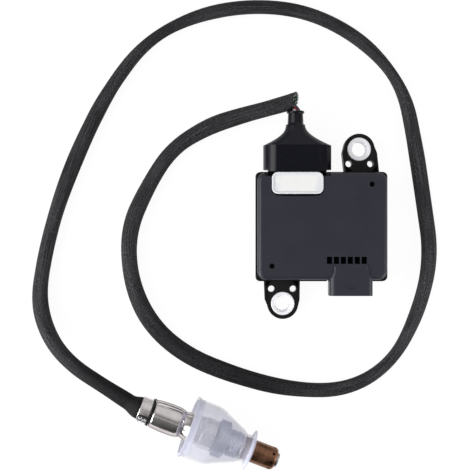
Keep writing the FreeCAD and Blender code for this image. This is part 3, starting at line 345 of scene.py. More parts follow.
def sweep(name, places, lengths, material, ribs=RIBS, rib_height=RIB_HEIGHT):
    """A ribbed ring extruded through a row of places, closed at both ends and mapped."""
    bm = bmesh.new()
    around = bm.verts.layers.float.new("around")
    along = bm.verts.layers.float.new("along")
    sides = 2 * ribs
    ring = bmesh.ops.create_circle(bm, cap_ends=True, segments=sides, radius=1)["verts"]
    for i, v in enumerate(ring):
        v[around] = i / sides
        v[along] = lengths[0]
        v.co *= 1 - rib_height * (i % 2)
    bmesh.ops.transform(bm, matrix=places[0], verts=ring)
    edges = list(bm.edges)
    for before, place, length in zip(places, places[1:], lengths[1:]):
        out = bmesh.ops.extrude_edge_only(bm, edges=edges)["geom"]
        edges = [g for g in out if isinstance(g, bmesh.types.BMEdge)]
        ring = [g for g in out if isinstance(g, bmesh.types.BMVert)]
        bmesh.ops.transform(bm, matrix=place @ before.inverted(), verts=ring)
        for v in ring:
            v[along] = length
    bmesh.ops.contextual_create(bm, geom=edges)
    bmesh.ops.recalc_face_normals(bm, faces=bm.faces)
    map_round_and_along(bm, around, along)
    piece = make_piece(name, bm, material)
    piece.data.set_sharp_from_angle(angle=CREASE_FROM)
    return piece


def map_round_and_along(bm, around, along):
    """The map named weave, and smooth faces. The last faces of a round run on to 1."""
    uv = bm.loops.layers.uv.new("weave")
    for face in bm.faces:
        face.smooth = True
        wraps = max(v[around] for v in face.verts) > 0.75
        for loop in face.loops:
            u = loop.vert[around]
            loop[uv].uv = (u + 1 if wraps and u < 0.25 else u, loop.vert[along])


# %% [markdown]
# ## The weave
#
# The sleeve's yarns are dull charcoal with paler fibres here and there. Every fibre could be
# modelled, but there are thousands, each thinner than a point of the picture. So a finish draws
# them: two families of yarns cross at a steep angle, and streaks and specks run along the cable.
# The pattern reads the piece's own map, so it follows every bend. On the lower stretch of the
# inner loop and close to the probe the pale fibres fade out: painted shade, for stretches that
# catch less light.

# %% Two families of yarns
BRAID_PITCH = 1.7 * MM


def braid_height(tree, uv):
    """Yarns that cross: 1 on top of a yarn, 0 between two, from the higher of both."""
    heights = []
    for slant in (1, -1):
        turned = stretched(tree, uv, (RIBS, slant / BRAID_PITCH, 1))
        parts = add(tree, "ShaderNodeSeparateXYZ", {"Vector": turned})
        phase = reckon(tree, "ADD", parts.outputs["X"], parts.outputs["Y"])
        wave = reckon(tree, "PINGPONG", phase, 0.5)
        heights.append(reckon(tree, "MULTIPLY", wave, 2.0))
    return reckon(tree, "MAXIMUM", *heights)


# %% The woven finish
SPECK_GRAIN, STREAK_GRAIN, WEAR_GRAIN = (60, 700, 1), (44, 40, 1), 38
# Painted shade: where the pale fibres fade out, in metres along the cable.
SHADED_STRETCH, SHADED_STRETCH_FADE = 0.235, (0.03, 0.09)  # metres along the cable, and away from the bend
PROBE_SHADE_FADE = (0.87, 0.905)
YARN_DEPTH = 0.16 * MM


def woven_finish(name, dark, light):
    """Dark yarns with paler fibres on the map named weave, faded by painted shade on two stretches."""
    material, tree, shader = new_finish(name)
    uv = add(tree, "ShaderNodeUVMap", uv_map="weave").outputs["UV"]
    weave = braid_height(tree, uv)
    fine = noise(tree, stretched(tree, uv, SPECK_GRAIN), 1.0, roughness=0.6)
    coarse = noise(tree, stretched(tree, uv, STREAK_GRAIN), 1.0, roughness=0.6)
    specks = level(tree, fine, 0, 1, start=0.5, end=0.72)
    streaks = level(tree, coarse, 0.1, 1, start=0.37, end=0.62)
    worn = noise(tree, object_place(tree), WEAR_GRAIN, detail=2)
    patches = level(tree, worn, 0.25, 0.8, start=0.4, end=0.62)
    pale = reckon(tree, "MULTIPLY", specks, patches)
    yarns = reckon(tree, "MULTIPLY", reckon(tree, "MULTIPLY", weave, streaks), 0.5)
    fibres = reckon(tree, "ADD", pale, yarns, clamp=True)

    # Painted shade: the pale fibres fade out on the inner loop's lower stretch and near the probe.
    metres = part_of(tree, uv, "Y")
    to_shaded_stretch = reckon(tree, "ABSOLUTE", reckon(tree, "SUBTRACT", metres, SHADED_STRETCH))
    painted_shade_on_stretch = level(tree, to_shaded_stretch, 0.4, 1, *SHADED_STRETCH_FADE)
    painted_shade_near_probe = level(tree, metres, 1, 0.22, *PROBE_SHADE_FADE)
    share = reckon(tree, "MULTIPLY", fibres, reckon(tree, "MULTIPLY", painted_shade_on_stretch, painted_shade_near_probe))
    tree.links.new(between(tree, share, dark, light), shader.inputs["Base Color"])

    set_sockets(shader, Roughness=0.42, Specular_IOR_Level=0.1, Anisotropic=0.8)
    around = add(tree, "ShaderNodeTangent", direction_type="UV_MAP", uv_map="weave")
    tree.links.new(around.outputs["Tangent"], shader.inputs["Tangent"])
    relief(tree, shader, reckon(tree, "ADD", weave, specks), YARN_DEPTH, 0.8)
    return material


charcoal_weave = woven_finish(
    "charcoal_weave", (0.0048, 0.0048, 0.0056), (0.118, 0.118, 0.126)
)
print("weave of", len(charcoal_weave.node_tree.nodes), "nodes")

# %% [markdown]
# ## The sleeve along its line
#
# The knife went through the sleeve at a slant. The cut's face looks a little upwards and towards
# the boot, so from above one sees the ends of the yarns. A square end could be cut off with a
# plane, but turning the first rings gives the same face and keeps the ribs whole. Further on,
# each ring stands square to the line and takes its width from the table above.

# %% The slanted cut
CUT_TILT, CUT_TURN = math.radians(17), math.radians(28)
CUT_LENGTH = 8 * MM


def line_direction(points, i):
    """The way a line runs at its point number i."""
    return (points[min(i + 1, len(points) - 1)] - points[max(i - 1, 0)]).normalized()


start_along = line_direction(line, 0)
start_side = start_along.cross(Vector((0, 0, 1))).normalized()


def cut_share(distance):
    """1 at the cut, and 0 from where the rings stand square to the line."""
    return max(0.0, 1 - distance / CUT_LENGTH)


def cut_facing(distance):
    """The way the rings face near the cut."""
    tilted = Matrix.Rotation(-CUT_TILT * cut_share(distance), 3, start_side) @ start_along
    return Matrix.Rotation(-CUT_TURN * cut_share(distance), 3, "Z") @ tilted


def cut_stretch(distance):
    """A slanted ring is wider than a square one."""
    return 1 / math.cos(CUT_TURN * cut_share(distance))


# %% Sweep the sleeve along its line
ROUND_HALF, FLATTENING = 4.3, 0.6
CUT_FLATNESS = 0.95
LIES_BELOW = 6 * MM  # where the line is lower, the sleeve lies on the ground
TWIST = 6.0  # radians for each metre


def sleeve_half_height(half_width):
    """The wider the sleeve is pressed, the flatter it gets."""
    return min(ROUND_HALF, ROUND_HALF - FLATTENING * (half_width - ROUND_HALF))


places, lengths = [], []
for inward, size in ((3.0, 0.80), (0.6, 0.84), (-0.1, 0.9), (0.0, 1.0)):
    half = SLEEVE_WIDTH[0][1] * size * cut_stretch(0)
    centre = line[0] + start_along * inward * MM
    places.append(ring_place(centre, cut_facing(0), half * MM, half * CUT_FLATNESS * MM, 0))
    lengths.append(0.0)
for i, point in enumerate(line[1:], 1):
    distance = distances[i]
    half = at_share(SLEEVE_WIDTH, distance / CABLE_LENGTH)
    height = sleeve_half_height(half)
    if point.z < LIES_BELOW:
        height = min(height, REST - 0.02)
    along = cut_facing(distance) if distance < CUT_LENGTH else line_direction(line, i)
    half *= cut_stretch(distance)
    places.append(ring_place(point, along, half * MM, height * MM, TWIST * distance))
    lengths.append(distance)
sleeve = sweep("cable_sleeve", places, lengths, charcoal_weave)
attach(sleeve, "sensor")
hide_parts("braided_sleeve")
print("sleeve", len(sleeve.data.polygons), "faces")

# %% [markdown]
# ## The sleeve's wide end at the probe
#
# The sleeve is pulled over a spigot on the probe's shell, so its last stretch widens from the
# cable to the band, and its cut yarns stand up in a short black fringe behind the shell. A cone
# could stand for it, but the cable arrives at an angle. The same sweep makes it, from the cable's
# last ring to the band's far side, so the weave runs on without a break.

# %% The sleeve's wide end
spin_joint = next(j for j in frame["joints"] if j["name"] == "gland_nut_spin")
PROBE_AXIS = Vector(spin_joint["axis"])
PROBE_START = Vector(spin_joint["pos_m"])
BAND_START, BAND_END, SHELL_START = -29.7, -23.4, -21.9
END_HALF_WIDTH, END_HALF_HEIGHT, SEAT_R = SLEEVE_WIDTH[-1][1], 4.05, 6.45
WIDE_STEPS = 12
UNDER_BAND = (  # millimetres along the probe, radius
    (BAND_START + 0.4, 6.42), (BAND_END, 6.42), (BAND_END + 0.5, 6.6),
    (SHELL_START - 0.5, 7.0), (SHELL_START - 0.25, 6.9), (SHELL_START - 0.25, 5.6),
)


def on_axis(station):
    """A point on the probe's axis, that many millimetres along it."""
    return PROBE_START + PROBE_AXIS * (station * MM)


end, leaving = line[-1], line_direction(line, len(line) - 1)
seat = on_axis(BAND_START)
reach = (seat - end).length
places, lengths = [], []
for step in range(WIDE_STEPS + 1):
    t = step / WIDE_STEPS
    centre = (end + leaving * reach * t).lerp(seat - PROBE_AXIS * reach * (1 - t), t)
    along = leaving.lerp(PROBE_AXIS, t).normalized()
    half = END_HALF_WIDTH + (SEAT_R - END_HALF_WIDTH) * eased(t)
    height = END_HALF_HEIGHT + (SEAT_R - END_HALF_HEIGHT) * eased(t)
    length = CABLE_LENGTH + reach * t
    places.append(ring_place(centre, along, half * MM, height * MM, TWIST * length))
    lengths.append(length)
for station, radius in UNDER_BAND:
    length = CABLE_LENGTH + reach + (station - BAND_START) * MM
    centre = on_axis(station)
    places.append(ring_place(centre, PROBE_AXIS, radius * MM, radius * MM, TWIST * length))
    lengths.append(length)
wide_end = sweep("sleeve_wide_end", places, lengths, charcoal_weave)
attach(wide_end, "sensor")
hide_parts("sleeve_flare")
print("wide end", round(1000 * reach, 1), "mm to the band")

# %% [markdown]
# ## Cut yarns
#
# Where the sleeve is cut, its yarns stand out in a fringe of fine threads. Hair particles could
# draw them, but they leave no mesh behind for the exported model. So each thread is a thin cone.
# They stand in a ring, lean outwards a little and differ in length and shade, like the real ones.

# %% Colours of leads and yarns
yarn_black = moulded(
    "yarn_black", (0.010, 0.010, 0.011), (0.035, 0.035, 0.037), rough=(0.7, 0.85)
)
yarn_grey = moulded("yarn_grey", (0.45, 0.45, 0.46), (0.75, 0.75, 0.76), rough=(0.6, 0.7))
wire_white = moulded("wire_white", (0.66, 0.66, 0.64), (0.82, 0.82, 0.8), rough=(0.3, 0.4))
wire_green = moulded("wire_green", (0.02, 0.16, 0.06), (0.04, 0.26, 0.11), rough=(0.3, 0.4))
wire_red = moulded("wire_red", (0.44, 0.02, 0.026), (0.6, 0.045, 0.055), rough=(0.3, 0.4))
wire_black = moulded(
    "wire_black", (0.012, 0.012, 0.013), (0.025, 0.025, 0.027), rough=(0.3, 0.4)
)
print("materials so far", len(bpy.data.materials))


# %% Threads and fringes
def rod(bm, root, direction, size, thick, thin, segments=5):
    """A thin tapering rod that starts a fifth of its length before its root."""
    turn = direction.to_track_quat("Z", "Y").to_matrix().to_4x4()
    before = set(bm.faces)
    bmesh.ops.create_cone(
        bm, cap_ends=True, segments=segments, radius1=thick, radius2=thin, depth=size,
        matrix=Matrix.Translation(root + direction * size * 0.3) @ turn,
    )
    return set(bm.faces) - before


def soft_piece(name, bm, *materials):
    """A smooth piece of yarns, which rides with the sleeve."""
    for face in bm.faces:
        face.smooth = True
    piece = make_piece(name, bm, *materials)
    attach(piece, "sensor")
    return piece


def fringe(name, place, count, length, lean, thickness, materials, weights):
    """Yarns that stand round a ring of radius 1 at this place, along its Z."""
    bm = bmesh.new()
    turn = place.to_3x3()
    along = (turn @ Vector((0, 0, 1))).normalized()
    for i in range(count):
        angle = 2 * math.pi * (i + random.uniform(-0.4, 0.4)) / count
        rim = Vector((math.cos(angle), math.sin(angle), 0))
        outward = (turn @ rim).normalized()
        loose = Vector([random.uniform(-0.3, 0.3) for _ in range(3)])
        direction = (along + outward * lean * random.uniform(0.0, 1.6) + loose).normalized()
        root = place @ (rim * random.uniform(0.9, 1.0))
        size = length * random.uniform(0.4, 1.2)
        shade = random.choices(range(len(materials)), weights)[0]
        for face in rod(bm, root, direction, size, thickness, thickness * 0.4):
            face.material_index = shade
    return soft_piece(name, bm, *materials)


# %% Fringes at the cut and at the band
def facing_out(place):
    """The same ring, with its Z out of the sleeve."""
    return place @ Matrix.Rotation(math.pi, 4, "X")


YARN_RING = 0.92  # the cut yarns stand a little inside the sleeve's outer face
CUT_HALF = SLEEVE_WIDTH[0][1] * YARN_RING * cut_stretch(0) * MM
cut_place = facing_out(
    ring_place(line[0], cut_facing(0), CUT_HALF, CUT_HALF * CUT_FLATNESS, 0)
)
band_place = ring_place(on_axis(BAND_END + 0.2), PROBE_AXIS, 7.6 * MM, 7.6 * MM, 0)
band_yarns = {"thickness": 0.17 * MM, "materials": (yarn_black,), "weights": (1,)}
fringe(
    "cut_end_fringe", cut_place, count=130, length=1.3 * MM, lean=0.3, thickness=0.12 * MM,
    materials=(yarn_black, yarn_grey, wire_green), weights=(7, 4, 1),
)
fringe("band_fringe", band_place, count=150, length=1.7 * MM, lean=0.9, **band_yarns)
fringe(
    "band_fringe_back", facing_out(band_place), count=70, length=1.1 * MM, lean=1.0, **band_yarns
)
print("cut", round(2000 * CUT_HALF, 1), "mm wide")

# %% [markdown]
# ## The four leads
#
# The leads come out of the lower side of the cut end, one above the other, turn sharply down into
# the boot's mouth and fan out inside it to the bores of the white block and on to the board. A
# bevelled curve would do for a wire. The sweep is at hand and closes the ends as well, so each
# lead is a plain round ring swept along its own spline. Soft wire bends more tightly than the
# solid stand-in may.

# %% The four leads
LEAD_R, LEAD_STACK = 0.75, 1.65
LEADS = (  # colour, finish, place from below, x of the bore, how far back it turns
    ("green", wire_green, 0, -16.75, 0.3), ("white", wire_white, 1, -11.55, 0.3),
    ("red", wire_red, 2, -6.35, -0.2), ("black", wire_black, 3, -21.95, 1.2),
)


def plain_rod(name, points, half_width, half_height, ribs, material):
    """A smooth round or oval rod along a line. Its half sizes are in millimetres."""
    spots = [
        ring_place(point, line_direction(points, i), half_width * MM, half_height * MM, 0)
        for i, point in enumerate(points)
    ]
    return sweep(name, spots, [0.0] * len(spots), material, ribs=ribs, rib_height=0)


for colour, material, row, bore_x, back in LEADS:
    up = (row - 1.5) * LEAD_STACK
    lead_line = spline_points([
        (-21.0, 71.6, 11.4 + up), (-18.4, 70.6, 11.4 + up), (-16.2, 69.2 + back, 11.4 + up),
        (-14.4 - 0.4 * back, 67.9 + back, 11.4 + up),
        (-12.8 - 0.5 * back, 67.2 + 0.4 * back, 11.4 + up),
        (-12.9, 65.8, 11.5 + up), (-14.4, 63.0, 11.5 + up), (-14.7, 58.0, 11.5 + up),
        (-15.0, 52.0, 11.5 + up), (bore_x, 40.0, 12.0), (bore_x, 34.0, 12.0),
        (bore_x, 14.4, 12.0), (bore_x, 14.0, 10.5), (bore_x, 14.0, 7.6),
    ])
    lead = plain_rod("lead_" + colour, lead_line, LEAD_R, LEAD_R, 8, material)
    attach(lead, "sensor")
    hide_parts("lead_wire_" + colour)
print("leads", len(LEADS))

# %% [markdown]
# Round the leads, filler yarns fill the cut end. One flat face with a speckled finish would look
# printed from the side. So they are short round rods of black, grey, white and green, cut at
# slightly different lengths, and they stand in the even spiral of a sunflower's seeds.

# %% Filler yarns in the cut end
FILLERS, SHADES = (yarn_black, yarn_grey, wire_white, wire_green), (14, 2, 2, 3)
FILLER_COUNT, FILLER_REACH = 110, 0.84
FILLER_THICK, FILLER_THIN, FILLER_SET_IN = 0.3 * MM, 0.22 * MM, 1.5 * MM
CLEAR_OF_LEADS = 1.1 * MM
GOLDEN_ANGLE = math.pi * (3 - math.sqrt(5))
lead_roots = [Vector((-16.3, 69.3, 11.5 + (i - 1.5) * LEAD_STACK)) * MM for i in range(4)]
bm = bmesh.new()
made = 0
for i in range(FILLER_COUNT):
    r, angle = FILLER_REACH * math.sqrt((i + 0.5) / FILLER_COUNT), i * GOLDEN_ANGLE
    root = cut_place @ Vector((r * math.cos(angle), r * math.sin(angle), 0))
    if min((root - lead).length for lead in lead_roots) < CLEAR_OF_LEADS:
        continue
    size = random.uniform(2.0, 2.7) * MM
    shade = random.choices(range(len(FILLERS)), SHADES)[0]
    inside = root + start_along * FILLER_SET_IN
    for face in rod(bm, inside, -start_along, size, FILLER_THICK, FILLER_THIN, 8):
        face.material_index = shade
    made += 1
soft_piece("filler_yarns", bm, *FILLERS)
print("filler yarns", made)

# %% [markdown]
# ## The module
#
# The cover is a bluish dark grey moulding with a satin face, and the tray below it is plain black
# with less shine. One plastic could serve both, but side by side they differ in hue as well as in
# gloss, so each has its own. The board, the chips and the ceramics inside are seen only when the
# model is opened, and get plain finishes.

# %% Plastics and ceramics
case_grey = moulded(
    "case_grey", (0.0165, 0.018, 0.0275), (0.019, 0.0205, 0.031), rough=(0.36, 0.38),
    depth=0.03 * MM, Specular_IOR_Level=0.4,
)
case_black = moulded(
    "case_black", (0.004, 0.004, 0.005), (0.007, 0.007, 0.008), rough=(0.4, 0.5),
    Specular_IOR_Level=0.2,
)
# Near-black without shine, for painted shade: in the cover's hollows and under the white block.
shade_and_gap_black = moulded(
    "shade_and_gap_black", (0.001, 0.001, 0.0012), (0.002, 0.002, 0.0022), rough=(0.7, 0.8),
    Specular_IOR_Level=0.05,
)
seal_grey = moulded("seal_grey", (0.2, 0.2, 0.21), (0.3, 0.3, 0.31), rough=(0.5, 0.6))
soft_brown = moulded("soft_brown", (0.08, 0.05, 0.04), (0.14, 0.1, 0.08), rough=(0.5, 0.6))
board_green = moulded("board_green", (0.02, 0.1, 0.04), (0.03, 0.16, 0.07), rough=(0.35, 0.5))
chip_black = moulded(
    "chip_black", (0.015, 0.015, 0.015), (0.03, 0.03, 0.03), rough=(0.5, 0.6)
)
ceramic = moulded("ceramic", (0.72, 0.7, 0.64), (0.84, 0.82, 0.77), rough=(0.5, 0.65))
talc = moulded("talc", (0.5, 0.5, 0.47), (0.62, 0.62, 0.59), rough=(0.8, 0.9))
print("materials so far", len(bpy.data.materials))

# %% [markdown]
# The boot is near-black. Its oval band is moulded glossy and its cone is matte up to the neck.
# Two materials on one piece would need its faces picked out by hand, so one finish changes by how
# far a point lies along the boot.

# %% The boot
BLACK_SPECK = (0.004, 0.004, 0.005, 1)


def boot_finish(name, glossy, matte, cone_start):
    """Glossy before the cone, matte on it, and darker and glossier again towards the neck."""
    material, tree, shader = new_finish(name)
    place = object_place(tree)
    y = part_of(tree, place, "Y")
    cone = level(tree, y, 0, 1, cone_start - 0.4 * MM, cone_start + 0.4 * MM)
    neck = level(tree, y, 1, 0.3, cone_start + 9 * MM, cone_start + 13 * MM)
    dull = reckon(tree, "MULTIPLY", cone, neck)
    specks = level(tree, noise(tree, place, 400, detail=2), 0, 0.4)
    speckled = add(
        tree, "ShaderNodeMix",
        {"Factor": specks, "A": between(tree, dull, glossy, matte), "B": BLACK_SPECK},
        data_type="RGBA",
    )
    tree.links.new(speckled.outputs["Result"], shader.inputs["Base Color"])
    gloss = level(tree, dull, 0.2, 0.5, start=0, end=1)
    tree.links.new(gloss, shader.inputs["Roughness"])
    relief(tree, shader, noise(tree, place, FINE_GRAIN, detail=1), 0.01 * MM)
    set_sockets(shader, Specular_IOR_Level=0.28)
    return material


boot_black = boot_finish(
    "boot_black", (0.0008, 0.001, 0.0055), (0.005, 0.0055, 0.011), cone_start=46.8 * MM
)
dress_smooth(boot_black, "cable_boot")
print("boot dressed")

# %% [markdown]
# The entry block is a white moulding. Its face gets painted shade along its border, where it
# looks softly recessed. A picture of that border could be painted, but a few nodes make it at any
# size: the sixth powers of both coordinates, added up, stay near nothing in the middle and rise
# steeply at the edge.

# %% The white block
def block_finish(name, mid, border, centre, half):
    """White, with painted shade towards the border of a face with this centre and these half sizes."""
    material, tree, shader = new_finish(name)
    place = object_place(tree)
    moved = add(tree, "ShaderNodeVectorMath", {0: place, 1: centre}, operation="SUBTRACT")
    sized = add(
        tree, "ShaderNodeVectorMath", {0: moved.outputs["Vector"], 1: half}, operation="DIVIDE"
    )
    sides = [
        reckon(tree, "POWER", part_of(tree, sized.outputs["Vector"], axis), 6.0) for axis in "XY"
    ]
    out = reckon(tree, "ADD", *sides)
    cloud = level(tree, noise(tree, place, 260), -0.2, 0.2)
    # Painted shade: the face darkens towards its border.
    share = level(tree, reckon(tree, "ADD", out, cloud), 0, 1, start=0.1, end=0.5)
    tree.links.new(between(tree, share, mid, border), shader.inputs["Base Color"])
    gloss = level(tree, cloud, 0.35, 0.45, start=-0.2, end=0.2)
    tree.links.new(gloss, shader.inputs["Roughness"])
    relief(tree, shader, noise(tree, place, FINE_GRAIN, detail=1), 0.02 * MM)
    return material


block_white = block_finish(
    "block_white", mid=(0.84, 0.84, 0.83), border=(0.74, 0.75, 0.78),
    centre=(-14.15 * MM, 24.4 * MM, 0), half=(14.2 * MM, 5.6 * MM, 1),
)
dress(block_white, "entry_block")
print("block dressed")

# %% Dress the module and the probe's ceramics
dress(case_grey, "housing_cover")
dress(case_black, "housing_base")
dress(seal_grey, "cover_seal")
dress(soft_brown, "wire_seal", "wire_grommet")
dress(board_green, "circuit_board")
dress(chip_black, "controller_chip", "driver_chip")
dress(ceramic, "contact_holder", "insulator_rear", "insulator_front", "sensing_element")
dress(talc, "talc_seal")
print("module dressed")

# %% [markdown]
# The tray's upper edge is rolled outwards, so that a narrow black bead shows all round the grey
# cover. It stops at the socket. A bevel on the tray would change a solid part, so the bead is a
# piece of its own: a round rod that follows the tray's outline in two stretches.

# %% The tray's bead
BEAD_R, BEAD_Z = 0.8, 6.0
WEST, EAST, SOUTH, NORTH = -37.2, 38.1, -31.2, 31.0
BEADS = (
    [(3.6, SOUTH), (-15.0, SOUTH), (-33.0, SOUTH), (WEST, SOUTH), (WEST, -27.0), (WEST, 0.0),
     (WEST, 27.0), (WEST, NORTH), (-33.6, NORTH)],
    [(30.0, SOUTH), (32.5, SOUTH), (EAST, SOUTH), (EAST, -26.5), (EAST, 0.0), (EAST, 26.5),
     (EAST, NORTH), (33.0, NORTH), (32.0, NORTH)],
)
for number, corners in enumerate(BEADS):
    bead_line = spline_points([(x, y, BEAD_Z) for x, y in corners], steps=12)
    bead = plain_rod(f"tray_bead_{number}", bead_line, BEAD_R, BEAD_R, 6, case_black)
    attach(bead, "sensor")
print("beads", len(BEADS))

# %% [markdown]
# The bottoms of the cover's two round marks and six blind windows are painted shade in black,
# and a black strip under the white block's lower edge stands for its shadow over a narrow gap.
# Single faces of the cover could be given a second material, but their numbers change with every
# new mesh. Small black plates and discs in the hollows stay where they are put.

# %% Painted shade in the hollows, and the shadow and gap under the block
MARKS, MARK_R, MARK_Z, MARK_DEPTH = ((28.3, 23.9), (-28.8, -22.8)), 1.48, 18.85, 1.6
WINDOWS, WINDOW_X, WINDOW_Y, WINDOW_Z, WINDOW_PITCH = 6, 13.9, -19.5, 16.6, 3.96
WINDOW_SIZE = Matrix.Diagonal((2.96 * MM, 4.0 * MM, 2.0 * MM, 1))
JOINT_HALF_WIDTH, JOINT_HALF_HEIGHT, JOINT_Z = 0.75, 0.4, 21.0
# Painted shade: black discs at the bottom of the round marks, black plates in the windows.
bm = bmesh.new()
for x, y in MARKS:
    bmesh.ops.create_cone(
        bm, cap_ends=True, segments=32, radius1=MARK_R * MM, radius2=MARK_R * MM,
        depth=MARK_DEPTH * MM, matrix=Matrix.Translation(Vector((x, y, MARK_Z)) * MM),
    )
for i in range(WINDOWS):
    x = WINDOW_X + (i - (WINDOWS - 1) / 2) * WINDOW_PITCH
    place = Matrix.Translation(Vector((x, WINDOW_Y, WINDOW_Z)) * MM)
    bmesh.ops.create_cube(bm, size=1, matrix=place @ WINDOW_SIZE)
hollow_shades = make_piece("hollow_shade_plates", bm, shade_and_gap_black)
# Painted shadow over a narrow gap: a black strip along the white block's lower edge.
joint_line = spline_points([
    (-26.6, 18.4, JOINT_Z), (-24.0, 17.95, JOINT_Z), (-14.0, 17.9, JOINT_Z),
    (-4.3, 17.95, JOINT_Z), (-1.7, 18.4, JOINT_Z),
], steps=12)
joint = plain_rod(
    "block_gap_and_shadow", joint_line, JOINT_HALF_WIDTH, JOINT_HALF_HEIGHT, 6, shade_and_gap_black
)
for piece in (hollow_shades, joint):
    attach(piece, "sensor")
print("bottoms", len(MARKS) + WINDOWS)

# %% [markdown]
# ## Metals
#
# Turned and drawn steel shows fine lines round its axis. They could be cut into the mesh, but they
# are far too fine for that, so they are stretched noise: fine along the axis and long across it.
# For the bushes the axis is upright, and for the probe it is the probe's own.

# %% Turned metal
LINE_STRETCH, LINE_DEPTH, STAIN_GRAIN = (1, 0.03, 0.03), 0.01 * MM, 180


def turned_metal(
    name, dark, light, rough, axis_turn=(0, 0, 0), axis_point=(0, 0, 0), lines=1400, **sockets
):
    """A metal with fine lines round an axis: X of the turned place is the axis."""
    material, tree, shader = new_finish(name)
    place = place_from(tree, axis_point, axis_turn)
    rings = noise(tree, stretched(tree, place, LINE_STRETCH), lines, detail=2)
    stains = noise(tree, place, STAIN_GRAIN, detail=4)
    both = reckon(tree, "MULTIPLY", rings, stains)
    share = level(tree, both, 0, 1, start=0.12, end=0.4)
    tree.links.new(between(tree, share, dark, light), shader.inputs["Base Color"])
    tree.links.new(level(tree, stains, *rough), shader.inputs["Roughness"])
    relief(tree, shader, rings, LINE_DEPTH)
    set_sockets(shader, **{"Metallic": 1.0, **sockets})
    return material


# %% Metals of the probe and the module
PROBE_TURN = tuple(PROBE_AXIS.to_track_quat("X", "Z").to_euler())
of_probe = {"axis_turn": PROBE_TURN, "axis_point": tuple(PROBE_START)}
upright = {"axis_turn": (0, math.radians(-90), 0)}
bush_steel = turned_metal(
    "bush_steel", (0.84, 0.84, 0.88), (0.93, 0.93, 0.96), rough=(0.5, 0.6), Metallic=0.4, **upright
)
band_steel = turned_metal(
    "band_steel", (0.62, 0.58, 0.58), (0.84, 0.79, 0.79), rough=(0.26, 0.34), lines=300,
    **of_probe,
)
shell_steel = turned_metal(
    "shell_steel", (0.64, 0.6, 0.6), (0.77, 0.72, 0.72), rough=(0.12, 0.18), lines=120,
    Specular_Tint=(0.3, 0.28, 0.28, 1), **of_probe,
)
body_steel = turned_metal(
    "body_steel", (0.55, 0.53, 0.52), (0.72, 0.7, 0.69), rough=(0.25, 0.35), **of_probe
)
nut_steel = turned_metal(
    "nut_steel", (0.2, 0.23, 0.31), (0.34, 0.38, 0.48), rough=(0.24, 0.34), **of_probe
)
tube_steel = turned_metal(
    "tube_steel", (0.35, 0.33, 0.31), (0.5, 0.48, 0.46), rough=(0.25, 0.4), **of_probe
)
tinted_steel = turned_metal(
    "tinted_steel", (0.16, 0.075, 0.04), (0.27, 0.14, 0.085), rough=(0.25, 0.38), **of_probe
)
pin_brass = turned_metal("pin_brass", (0.6, 0.45, 0.2), (0.75, 0.6, 0.3), rough=(0.2, 0.3))
can_metal = turned_metal(
    "can_metal", (0.6, 0.6, 0.62), (0.75, 0.76, 0.78), rough=(0.2, 0.3), **upright
)

# %% Dress the metal parts
dress_smooth(bush_steel, "ear_bush_upper", "ear_bush_lower")
dress_smooth(band_steel, "sleeve_band")
dress_smooth(shell_steel, "probe_rear_shell")
dress_smooth(body_steel, "probe_body")
dress_smooth(nut_steel, "gland_nut")
dress_smooth(tube_steel, "inner_tube")
dress_smooth(tinted_steel, "outer_tube")
dress(pin_brass, "connector_pins")
dress(can_metal, "capacitors")
print("materials so far", len(bpy.data.materials))

# %% [markdown]
# The band is closed by a crimp: a raised ear on its lower side, with a dark slot beside it that
# small teeth bridge. Cutting the slot into the band would give ragged edges on so thin a sheet.
# So each of these is a block that stands on the band at its own angle, and the slot is a black
# one.

# %% The band's crimp
PROBE_UP = (Vector((0, 0, 1)) - PROBE_AXIS * PROBE_AXIS.z).normalized()
PROBE_LOW = PROBE_AXIS.cross(PROBE_UP)
BAND_MIDDLE = -26.6
TEETH = (  # millimetres along the probe, degrees round it, relative width
    (-28.7, 31, 1.0), (-27.9, 35, 0.8), (-27.0, 30, 1.1),
    (-26.1, 36, 0.8), (-25.2, 32, 1.0), (-24.4, 34, 0.9),
)


def band_block(bm, station, angle, radius, size, shade=0, bevel=0.0):
    """A block on the band: size is along the probe, round it and outwards, in millimetres."""
    turn = math.radians(angle)
    out = PROBE_UP * math.cos(turn) + PROBE_LOW * math.sin(turn)
    facing = Matrix((PROBE_AXIS, out.cross(PROBE_AXIS), out)).transposed().to_4x4()
    place = Matrix.Translation(on_axis(station) + out * radius * MM) @ facing
    before = set(bm.faces)
    sized = place @ Matrix.Diagonal((*[v * MM for v in size], 1))
    cube = bmesh.ops.create_cube(bm, size=1, matrix=sized)["verts"]
    if bevel:
        edges = {e for v in cube for e in v.link_edges}
        bmesh.ops.bevel(
            bm, geom=list(edges), offset=bevel * MM, segments=2, affect="EDGES",
            clamp_overlap=True,
        )
    for face in set(bm.faces) - before:
        face.material_index = shade


bm = bmesh.new()
band_block(bm, BAND_MIDDLE, angle=56, radius=7.8, size=(5.8, 2.2, 1.6), bevel=0.35)
band_block(bm, BAND_MIDDLE, angle=32, radius=7.8, size=(5.6, 2.9, 0.6), shade=1)
for station, angle, width in TEETH:
    band_block(bm, station, angle, radius=8.1, size=(0.45, 1.4 * width, 0.4), bevel=0.08)
crimp = make_piece("band_crimp", bm, bush_steel, yarn_black)
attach(crimp, "sensor")
print("teeth", len(TEETH))

# %% [markdown]
# ## The transport cap
#
# The cap is a thin moulding of milky, bluish plastic, and what stands behind it shows dimly. Real
# transmission would bend and blur that view, and needs many samples to come out clean. Plain
# transparency is enough for so thin a wall: each wall covers about a quarter of what is behind
# it, and the solid rim and flange cover more.

